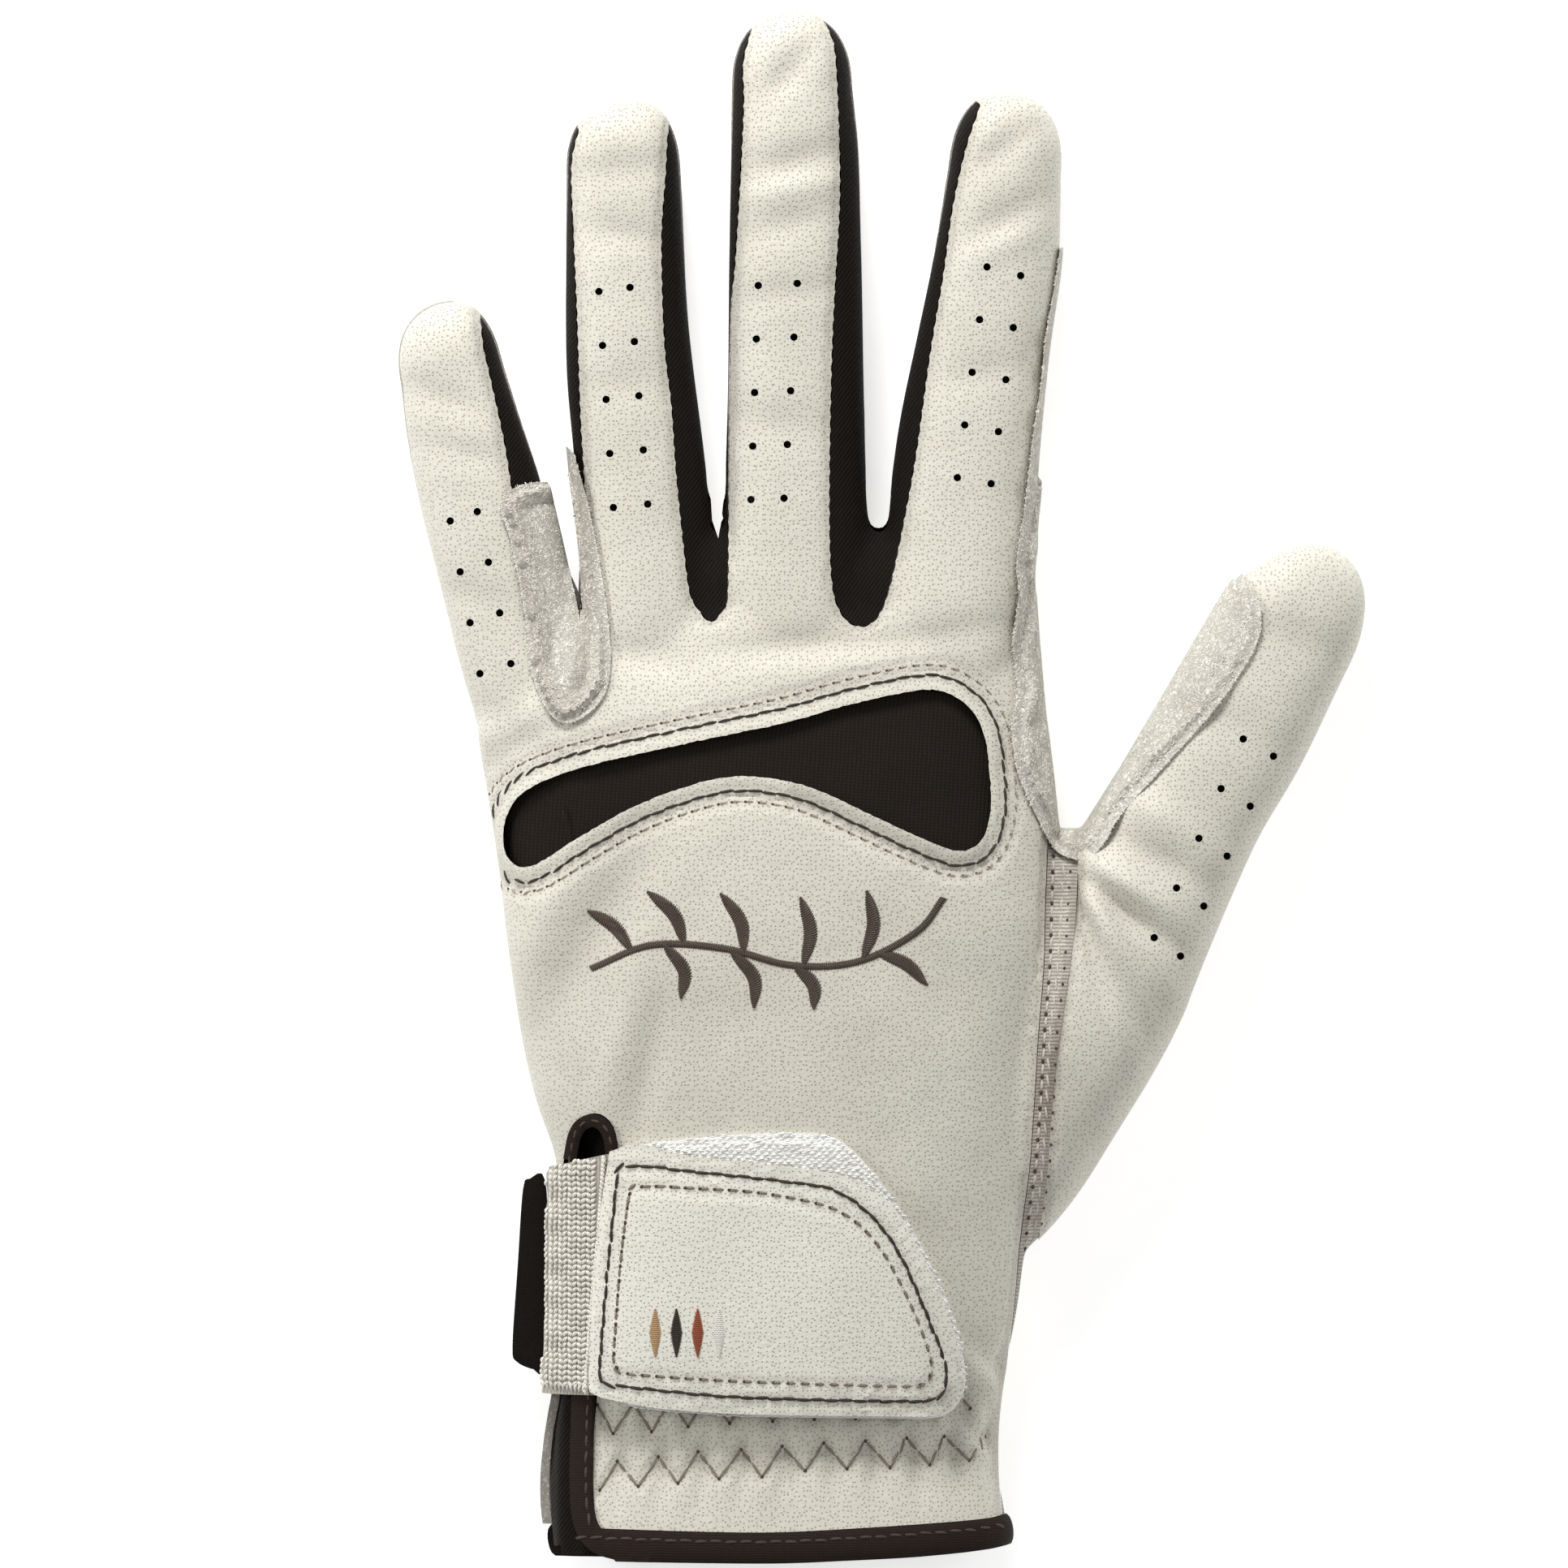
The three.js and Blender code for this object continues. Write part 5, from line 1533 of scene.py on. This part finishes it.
def node(tree, kind, links=None, **settings):
    """A node with its settings, and its inputs set to numbers or linked to sockets."""
    made_node = tree.nodes.new("ShaderNode" + kind)
    for key, value in settings.items():
        setattr(made_node, key, value)
    for key, value in (links or {}).items():
        if isinstance(value, bpy.types.NodeSocket):
            tree.links.new(value, made_node.inputs[key])
        else:
            made_node.inputs[key].default_value = value
    return made_node


def maths(tree, operation, first, second=0.0, clamp=False):
    return node(tree, "Math", {0: first, 1: second}, operation=operation, use_clamp=clamp).outputs[0]


def soft_step(tree, value, low, high):
    """Zero below low, one above high, and a soft slope between."""
    return node(tree, "MapRange", {"Value": value, "From Min": low, "From Max": high},
                interpolation_type="SMOOTHSTEP").outputs["Result"]


PER_MM = 1000.0

# %% [markdown]
# ## The four groups
#
# Mottle is one slow noise and one fine one. Pores are the middles of the cells of a Voronoi pattern, laid on
# whichever side of the glove a surface faces, so that they stay round on the edges too. Nap is a bent noise
# with many octaves. Ribs are two sine waves that cross, as wales and courses do in a knit.

# %% Groups for mottle, pores, nap and ribs
mottle, start, end = new_group("mottle", {"Size mm": 12.0, "Seed": 0.0}, ["Tone", "Fine"])
where = node(mottle, "TexCoord").outputs["Object"]
scale = maths(mottle, "DIVIDE", PER_MM, start.outputs["Size mm"])
broad = node(mottle, "TexNoise", {"Vector": where, "W": start.outputs["Seed"], "Scale": scale, "Detail": 3.0},
             noise_dimensions="4D")
fine = node(mottle, "TexNoise", {"Vector": where, "W": start.outputs["Seed"],
                                 "Scale": maths(mottle, "MULTIPLY", scale, 9.0),
                                 "Detail": 4.0}, noise_dimensions="4D")
mottle.links.new(soft_step(mottle, broad.outputs["Fac"], 0.3, 0.7), end.inputs["Tone"])
mottle.links.new(fine.outputs["Fac"], end.inputs["Fine"])

pores, start, end = new_group("pores", {"Pitch mm": 0.7, "Size": 0.2}, ["Pore", "Grain"])
where = node(pores, "TexCoord").outputs["Object"]
spot = node(pores, "SeparateXYZ", {0: where}).outputs
facing = node(pores, "VectorMath", {0: node(pores, "NewGeometry").outputs["Normal"]},
              operation="ABSOLUTE").outputs[0]
facing = node(pores, "SeparateXYZ", {0: facing}).outputs
sideward = maths(pores, "GREATER_THAN", facing[0], maths(pores, "MAXIMUM", facing[1], facing[2]))
endward = maths(pores, "GREATER_THAN", facing[1], maths(pores, "MAXIMUM", facing[0], facing[2]))
across = node(pores, "Mix", {0: sideward, 2: spot[0], 3: spot[2]}, data_type="FLOAT").outputs[0]
ahead = node(pores, "Mix", {0: endward, 2: spot[1], 3: spot[2]}, data_type="FLOAT").outputs[0]
unrolled = node(pores, "CombineXYZ", {0: across, 1: maths(pores, "MULTIPLY", ahead, 0.9)}).outputs[0]
wobble = node(pores, "TexNoise", {"Vector": where, "Scale": 700.0, "Detail": 2.0})
wobble = node(pores, "VectorMath", {0: wobble.outputs["Color"], 1: (0.0003, 0.0003, 0.0)},
              operation="MULTIPLY")
bent = node(pores, "VectorMath", {0: unrolled, 1: wobble.outputs[0]}, operation="ADD").outputs[0]
rate = maths(pores, "DIVIDE", PER_MM, start.outputs["Pitch mm"])
cells = node(pores, "TexVoronoi", {"Vector": bent, "Scale": rate, "Randomness": 0.72},
             voronoi_dimensions="2D")
pore = maths(pores, "SUBTRACT", 1.0, soft_step(pores, cells.outputs["Distance"], 0.1, start.outputs["Size"]))
pores.links.new(pore, end.inputs["Pore"])
grain = node(pores, "TexNoise", {"Vector": where, "Scale": rate, "Detail": 3.0, "Roughness": 0.6})
pores.links.new(soft_step(pores, grain.outputs["Fac"], 0.35, 0.65), end.inputs["Grain"])

nap, start, end = new_group("nap", {"Pitch mm": 0.5, "Bend": 2.0}, ["Fibre", "Clump"])
where = node(nap, "TexCoord").outputs["Object"]
scale = maths(nap, "DIVIDE", PER_MM, start.outputs["Pitch mm"])
hair = node(nap, "TexNoise", {"Vector": where, "Scale": scale, "Detail": 6.0, "Roughness": 0.72,
                              "Distortion": start.outputs["Bend"]})
clump = node(nap, "TexNoise", {"Vector": where, "Scale": maths(nap, "DIVIDE", scale, 3.0), "Detail": 3.0,
                               "Distortion": 1.0})
nap.links.new(soft_step(nap, hair.outputs["Fac"], 0.41, 0.59), end.inputs["Fibre"])
nap.links.new(soft_step(nap, clump.outputs["Fac"], 0.38, 0.62), end.inputs["Clump"])

ribs, start, end = new_group("ribs", {"Pitch mm": 0.6, "Turn": 0.0, "Cross": 0.0}, ["Rib", "Height"])
where = node(ribs, "TexCoord").outputs["Object"]
jitter = node(ribs, "TexNoise", {"Vector": where, "Scale": 300.0, "Detail": 2.0})
jitter = node(ribs, "VectorMath", {0: jitter.outputs["Color"], 1: (0.0003, 0.0003, 0.0003)},
              operation="MULTIPLY")
where = node(ribs, "VectorMath", {0: where, 1: jitter.outputs[0]}, operation="ADD").outputs[0]
rotated = node(ribs, "VectorRotate", {"Vector": where, "Angle": start.outputs["Turn"]},
               rotation_type="Z_AXIS")
split = node(ribs, "SeparateXYZ", {0: rotated.outputs[0]})
rate = maths(ribs, "DIVIDE", 2 * math.pi * PER_MM, start.outputs["Pitch mm"])
wale = maths(ribs, "SINE", maths(ribs, "MULTIPLY", split.outputs[0], rate))
course = maths(ribs, "SINE", maths(ribs, "MULTIPLY", split.outputs[1], maths(ribs, "MULTIPLY", rate, 1.3)))
height = maths(ribs, "ADD", wale, maths(ribs, "MULTIPLY", course, start.outputs["Cross"]))
# Rib is high on the crests; the materials paint the furrows darker with it, as shade falls there.
ribs.links.new(maths(ribs, "ADD", maths(ribs, "MULTIPLY", wale, 0.5), 0.5), end.inputs["Rib"])
ribs.links.new(height, end.inputs["Height"])
print("groups:", [group.name for group in bpy.data.node_groups])

# %% [markdown]
# ## Materials
#
# A material mixes its tones by these masks, and adds up the same masks, each with its own weight, as the
# height of a bump. Its colours are mixed inside the material, and what is the same all over is set on the
# shader itself.

# %% A recipe for cloth


def chart_colour(red, green, blue):
    """A colour of a paint chart, as the shader wants it."""
    shares = [value / 255 for value in (red, green, blue)]
    linear = [share / 12.92 if share <= 0.04045 else ((share + 0.055) / 1.055)**2.4 for share in shares]
    return (*linear, 1.0)


def use(tree, group, **values):
    """A group in a material's tree, with its inputs set by their names."""
    made_node = tree.nodes.new("ShaderNodeGroup")
    made_node.node_tree = group
    for key, value in values.items():
        made_node.inputs[key.replace("_", " ")].default_value = value
    return made_node.outputs


def mixed(tree, share, first, second):
    """One colour turned into another as a share rises. Each is a socket or a colour of a paint chart."""
    mix = node(tree, "Mix", {0: share}, data_type="RGBA")
    for index, value in ((6, first), (7, second)):
        if isinstance(value, bpy.types.NodeSocket):
            tree.links.new(value, mix.inputs[index])
        else:
            mix.inputs[index].default_value = chart_colour(*value)
    return mix.outputs[2]


def tinted(tree, colour, mask, weight, other, clamp=False):
    """A colour turned part of the way to another where a mask is high."""
    return mixed(tree, maths(tree, "MULTIPLY", mask, weight, clamp), colour, other)


def cloth_material(name, roughness, sheen=0.0, specular=0.5):
    """A new material with its tree and its shader."""
    material = bpy.data.materials.new(name)
    material.use_nodes = True
    tree = material.node_tree
    shader = tree.nodes["Principled BSDF"]
    shader.inputs["Roughness"].default_value = roughness
    shader.inputs["Sheen Weight"].default_value = sheen
    shader.inputs["Sheen Roughness"].default_value = 0.5
    shader.inputs["Specular IOR Level"].default_value = specular
    return material, tree, shader


def raise_by(tree, shader, height, depth_mm):
    """Feeds a height into the shader as a bump of a real depth."""
    bump = node(tree, "Bump", {"Height": height, "Strength": 1.0, "Distance": depth_mm * MM})
    tree.links.new(bump.outputs["Normal"], shader.inputs["Normal"])


def shade_of(tree):
    """How much painted shade and soil a piece has there, from its own attribute."""
    return node(tree, "Attribute", attribute_name="shade_and_soil").outputs["Fac"]


# %% [markdown]
# ## Leather, suede and knit
#
# The leather is pale with darker pores, painted as the shade in their pits; the suede is painted lighter at
# the tips of its fibres and darker between them, as light and shade; and the knit is painted darker in its
# furrows, where shade falls. The tab uses a lighter copy of the back's leather, and the palm a greyer suede.

# %% Leather, suede and knit
# The grey of painted shade and soil on the leather.
SHADE_AND_SOIL_GREY = (146, 140, 129)
PORE_SHADE = (134, 124, 109)
made = {}


def leather_material(name, light, dark, fine, grain):
    material, tree, shader = cloth_material(name, roughness=0.55, sheen=0.05, specular=0.35)
    tone = use(tree, mottle, Size_mm=16.0, Seed=1.0)
    pits = use(tree, pores, Pitch_mm=0.68, Size=0.23)
    colour = mixed(tree, tone["Tone"], light, dark)
    colour = tinted(tree, colour, tone["Fine"], 0.5, fine)
    colour = tinted(tree, colour, pits["Grain"], 0.28, grain)
    # Painted shade, with some soil, from the piece's attribute: greyer in folds, gathers, hollows and by
    # seams.
    colour = tinted(tree, colour, shade_of(tree), 0.75, SHADE_AND_SOIL_GREY, clamp=True)
    # The pores are painted darker, as the shade in their pits.
    colour = tinted(tree, colour, pits["Pore"], 0.62, PORE_SHADE)
    tree.links.new(colour, shader.inputs["Base Color"])
    height = maths(tree, "SUBTRACT", maths(tree, "MULTIPLY", pits["Grain"], 0.45), pits["Pore"])
    raise_by(tree, shader, maths(tree, "ADD", height, maths(tree, "MULTIPLY", tone["Fine"], 0.6)), 0.06)
    return material


made["leather"] = leather_material("pale_leather", light=(216, 213, 201), dark=(207, 204, 191),
                                   fine=(196, 193, 180), grain=(190, 186, 172))
made["tab_leather"] = leather_material("tab_leather", light=(236, 233, 222), dark=(229, 226, 214),
                                       fine=(218, 215, 203), grain=(212, 208, 195))


def suede_material(name, light, dark, shade, bump, pitch=0.45):
    material, tree, shader = cloth_material(name, roughness=0.9, specular=0.15)
    tone = use(tree, mottle, Size_mm=7.0, Seed=4.0)
    fibres = use(tree, nap, Pitch_mm=pitch, Bend=1.4)
    # Fibre tips are painted lighter and the ground between them darker, as light and shade on the nap.
    colour = mixed(tree, fibres["Fibre"], dark, light)
    colour = tinted(tree, colour, tone["Tone"], 0.1, shade)
    # Painted shade, with some soil, from the piece's attribute: greyer in the rein patch's hollow and by
    # seams.
    colour = tinted(tree, colour, shade_of(tree), 0.9, shade, clamp=True)
    tree.links.new(colour, shader.inputs["Base Color"])
    height = maths(tree, "ADD", maths(tree, "MULTIPLY", fibres["Clump"], 0.3), fibres["Fibre"])
    raise_by(tree, shader, height, bump)
    return material


made["suede"] = suede_material("towelled_suede", (228, 225, 215), (196, 192, 181), (160, 150, 138),
                               bump=0.085, pitch=0.75)
made["curls"] = suede_material("suede_curls", (238, 235, 226), (214, 210, 200), (166, 157, 146), bump=0.02,
                               pitch=0.8)
made["palm"] = suede_material("palm_suede", (216, 211, 201), (182, 175, 164), (150, 140, 130), bump=0.1)

material, tree, shader = cloth_material("ribbed_suede", roughness=0.85, specular=0.2)
lines = use(tree, ribs, Pitch_mm=0.55, Turn=math.radians(90), Cross=0.15)
fibres = use(tree, nap, Pitch_mm=0.4, Bend=1.5)
# The furrows between the strip's ribs are painted darker, as shade.
colour = mixed(tree, lines["Rib"], (176, 170, 158), (232, 229, 219))
colour = tinted(tree, colour, fibres["Clump"], 0.3, (160, 150, 138))
# Painted shadow low on the strip, and soil with painted shade by its seams, from its attribute.
colour = tinted(tree, colour, shade_of(tree), 0.9, (120, 106, 94), clamp=True)
tree.links.new(colour, shader.inputs["Base Color"])
raise_by(tree, shader, maths(tree, "ADD", lines["Height"], fibres["Fibre"]), 0.05)
made["strip"] = material


def knit_material(name, light, dark, pitch, turn, bump):
    material, tree, shader = cloth_material(name, roughness=0.8, specular=0.12)
    lines = use(tree, ribs, Pitch_mm=pitch, Turn=math.radians(turn), Cross=0.7)
    fibres = use(tree, nap, Pitch_mm=0.3, Bend=1.0)
    # The furrows of the knit are painted darker, as shade, by the ribs.
    colour = mixed(tree, lines["Rib"], dark, light)
    colour = tinted(tree, colour, fibres["Clump"], 0.4, dark)
    tree.links.new(colour, shader.inputs["Base Color"])
    raise_by(tree, shader, maths(tree, "ADD", lines["Height"],
                                 maths(tree, "MULTIPLY", fibres["Fibre"], 0.5)), bump)
    return material


made["knit"] = knit_material("dark_knit", (32, 26, 21), (14, 11, 8), pitch=0.5, turn=35, bump=0.04)
made["panel"] = knit_material("panel_knit", (34, 28, 23), (23, 18, 14), pitch=0.62, turn=4, bump=0.025)
made["binding"] = knit_material("binding_tape", (42, 33, 28), (31, 24, 20), pitch=0.4, turn=90, bump=0.012)
made["label"] = knit_material("label_weave", (30, 26, 22), (18, 15, 12), pitch=0.3, turn=0, bump=0.03)
made["hook"] = knit_material("hook_weave", (40, 38, 36), (20, 18, 17), pitch=0.6, turn=45, bump=0.1)
print("cloths:", list(made))

# %% [markdown]
# ## Threads, elastic and pile
#
# A thread is a twist of plies, so one recipe of slanting ribs serves them all. Only the tones, the twist and
# the roughness differ, and silk gets a little sheen.

# %% Threads, elastic and pile


def thread_material(name, light, dark, twist=0.32, turn=40, sheen=0.0, roughness=0.6):
    material, tree, shader = cloth_material(name, roughness, sheen, specular=0.25)
    lines = use(tree, ribs, Pitch_mm=twist, Turn=math.radians(turn), Cross=0.0)
    tone = use(tree, mottle, Size_mm=3.0, Seed=2.0)
    # The grooves between the plies are painted darker, as shade.
    colour = mixed(tree, lines["Rib"], dark, light)
    colour = tinted(tree, colour, tone["Tone"], 0.4, dark)
    tree.links.new(colour, shader.inputs["Base Color"])
    raise_by(tree, shader, lines["Rib"], 0.05)
    return material


made["dark_thread"] = thread_material("dark_thread", (72, 63, 54), (36, 30, 25))
made["sprig"] = thread_material("sprig_silk", (96, 84, 72), (54, 44, 36), twist=0.3, sheen=0.1, roughness=0.4)
made["brown_thread"] = thread_material("brown_grey_thread", (158, 148, 134), (104, 94, 82))
made["tape_thread"] = thread_material("tape_thread", (88, 75, 64), (52, 42, 35))
made["rim_thread"] = thread_material("rim_thread", (184, 175, 160), (138, 128, 114))
made["pale_thread"] = thread_material("pale_thread", (222, 217, 205), (186, 179, 166))
# Dark dots that paint the shadow inside needle holes.
made["hole_shadow"] = thread_material("hole_shadow_finish", (92, 82, 71), (62, 53, 46), twist=0.3, turn=0, roughness=0.9)
made["tan_silk"] = thread_material("tan_silk", (196, 164, 124), (160, 128, 92))
made["rust_silk"] = thread_material("rust_silk", (170, 96, 66), (130, 68, 46))
made["white_silk"] = thread_material("white_silk", (240, 238, 232), (214, 210, 202))
made["elastic"] = thread_material("elastic_yarn", (236, 234, 226), (204, 200, 190), twist=0.3, turn=30,
                                  roughness=0.8)
made["ground"] = thread_material("elastic_ground", (186, 181, 170), (150, 144, 133), twist=0.5, turn=0,
                                 roughness=0.9)
made["loop"] = thread_material("white_pile", (254, 254, 252), (234, 233, 228), twist=0.25, turn=80,
                               roughness=0.45)
print(len(made), "finishes")

# %% [markdown]
# ## Painted shade and soil near the seams
#
# Folds, gathers and a few hollows are painted greyer, as the shade that falls in them, and beside seams
# and rows the grey is partly soil and partly painted shade. A value at each point of a piece says how much,
# worked out from how near it is to a fold or a row, and the materials read it.

# %% Write the painted shade and soil of each piece


def shade_and_soil_at(points):
    """Painted shade in folds, gathers, hollows and below the window; soil and painted shade by the rows."""
    # Painted shade in creases: folds and gathers are greyer where shade falls in them.
    shade_and_soil = 0.22 * np.clip(fold_depth(points), 0, 1)
    shade_and_soil += 0.2 * np.clip(gathers(points), 0, 1)
    # Beside zigzags, seams and stitch rows the grey is partly soil and partly painted shade.
    for line in (zigzag_low, zigzag_high):
        shade_and_soil += 0.2 * beside(points, line, 0.9)
    for line in seam_lines:
        shade_and_soil += 0.35 * beside(points, line, 0.7)
    shade_and_soil += 0.25 * beside(points, window_dark, 0.8, closed=True)
    shade_and_soil += 0.1 * beside(points, tab_dark, 0.7, closed=True)
    x, y = points[:, 0], points[:, 1]
    # Painted shadows: under the window's lower rim, low on the strip by the thumb, and in the rein patch's
    # hollow.
    shade_below_window = beside(points, offset(window, 1.2, True), 1.6, closed=True, reach=5)
    shade_and_soil += 0.4 * shade_below_window * (y < 119 + 0.2 * x) * (np.abs(x - 16) < 15)
    shade_and_soil += 0.45 * bell(x - 40.6, 2.6) * bell(y - 72, 9)
    shade_and_soil += 0.35 * bell(x + 32.5, 2.5) * bell(y - 158, 7)
    return np.clip(shade_and_soil, 0, 1)


# Stores each point's painted shade and soil as an attribute that the materials read.
def write_shade_and_soil(piece):
    attribute = piece.data.attributes.new("shade_and_soil", "FLOAT", "POINT")
    attribute.data.foreach_set("value", shade_and_soil_at(points_of(piece)))


# %% [markdown]
# ## Finish each piece
#
# Every piece rides on the glove's one body, and those that stand for a solid take its place, so that solid is
# hidden. Smooth shading keeps soft forms soft, and edges sharper than forty degrees stay crisp.

# %% Ride, replace and shade
CREASE_ANGLE = math.radians(40)
SOFT_FINISHES = ("leather", "tab_leather", "suede", "palm", "strip")
finished = {
    "back_leather": (back_leather, "leather", "leather"),
    "palm_leather": (palm_leather, "palm", "suede"),
    "fourchette_little_ring": (fork_pieces["little_ring"], "knit", "knit"),
    "fourchette_ring_middle": (fork_pieces["ring_middle"], "knit", "knit"),
    "fourchette_middle_index": (fork_pieces["middle_index"], "knit", "knit"),
    "thumb_back": (thumb_back, "leather", "leather"),
    "thumb_palm": (thumb_palm, "palm", "suede"),
    "thumb_seam_strip": (strip_piece, "strip", "suede"),
    "knuckle_panel": (knuckle_panel, "panel", "knit"),
    "rein_patch": (rein_patch, "suede", "suede"),
    "thumb_patch": (thumb_patch_piece, "suede", "suede"),
    "vent_gusset": (vent_gusset, "knit", "knit"),
    "cuff_binding": (cuff_binding, "binding", "binding"),
    "loop_patch": (loop_patch, "loop", "loop"),
    "hook_patch": (hook_patch, "hook", "hook"),
    "closure_tab": (closure_tab, "tab_leather", "leather"),
    "elastic_strap": (elastic_strap, "ground", "elastic"),
    "side_label": (side_label, "label", "label"),
}
thread_finishes = {
    "window_dark_thread": ("dark_thread", "leather"),
    "window_pale_thread": ("rim_thread", "leather"),
    "tab_dark_thread": ("dark_thread", "leather"),
    "zigzag_thread": ("brown_thread", "leather"),
    "grey_thread": ("brown_thread", "leather"),
    "pale_thread": ("pale_thread", "leather"),
    "tape_thread": ("tape_thread", "binding"),
    "suede_thread": ("pale_thread", "suede"),
    "hole_shadow_dots": ("hole_shadow", "leather"),
    "sprig_thread": ("sprig", "leather"),
    "tan_diamond": ("tan_silk", "leather"),
    "dark_diamond": ("dark_thread", "leather"),
    "rust_diamond": ("rust_silk", "leather"),
    "white_diamond": ("white_silk", "leather"),
    "suede_curls": ("curls", "suede"),
    "knit_loops": ("elastic", "elastic"),
    "pile_filaments": ("loop", "loop"),
}


def finish_piece(piece, finish):
    select(piece)
    bpy.ops.object.shade_smooth_by_angle(angle=CREASE_ANGLE)
    piece.data.materials.clear()
    piece.data.materials.append(made[finish])
    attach(piece, "root")


for name, (piece, finish, slot) in finished.items():
    # Soft pieces get their painted shade and soil as an attribute.
    if finish in SOFT_FINISHES:
        write_shade_and_soil(piece)
    piece.name = name + "_finished"
    finish_piece(piece, finish)
    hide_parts(name)
# The curls take the painted shade and soil of the patches under them.
write_shade_and_soil(threads["suede_curls"])
for name, (finish, slot) in thread_finishes.items():
    finish_piece(threads[name], finish)
for spare in (form, coarse_form, skin, shell):
    bpy.data.objects.remove(spare)
pieces = [entry[0] for entry in finished.values()] + list(threads.values())
counts = {piece.name: sum(len(face.vertices) - 2 for face in piece.data.polygons) for piece in pieces}
print("triangles:", counts, "in all", sum(counts.values()))

# %% [markdown]
# ## The pale floor
#
# The glove lies on white paper. The paper glows a little, so that it stays white beside the glove and only
# keeps a faint shadow, as paper lit from behind does.

# %% Finish the floor
FLOOR_GLOW = 0.5
material, tree, shader = cloth_material("studio_floor", roughness=0.9, specular=0.2)
tone = use(tree, mottle, Size_mm=90.0, Seed=8.0)
tree.links.new(mixed(tree, tone["Tone"], (250, 250, 250), (248, 248, 248)), shader.inputs["Base Color"])
shader.inputs["Emission Color"].default_value = WHITE
shader.inputs["Emission Strength"].default_value = FLOOR_GLOW
floor.data.materials.append(material)
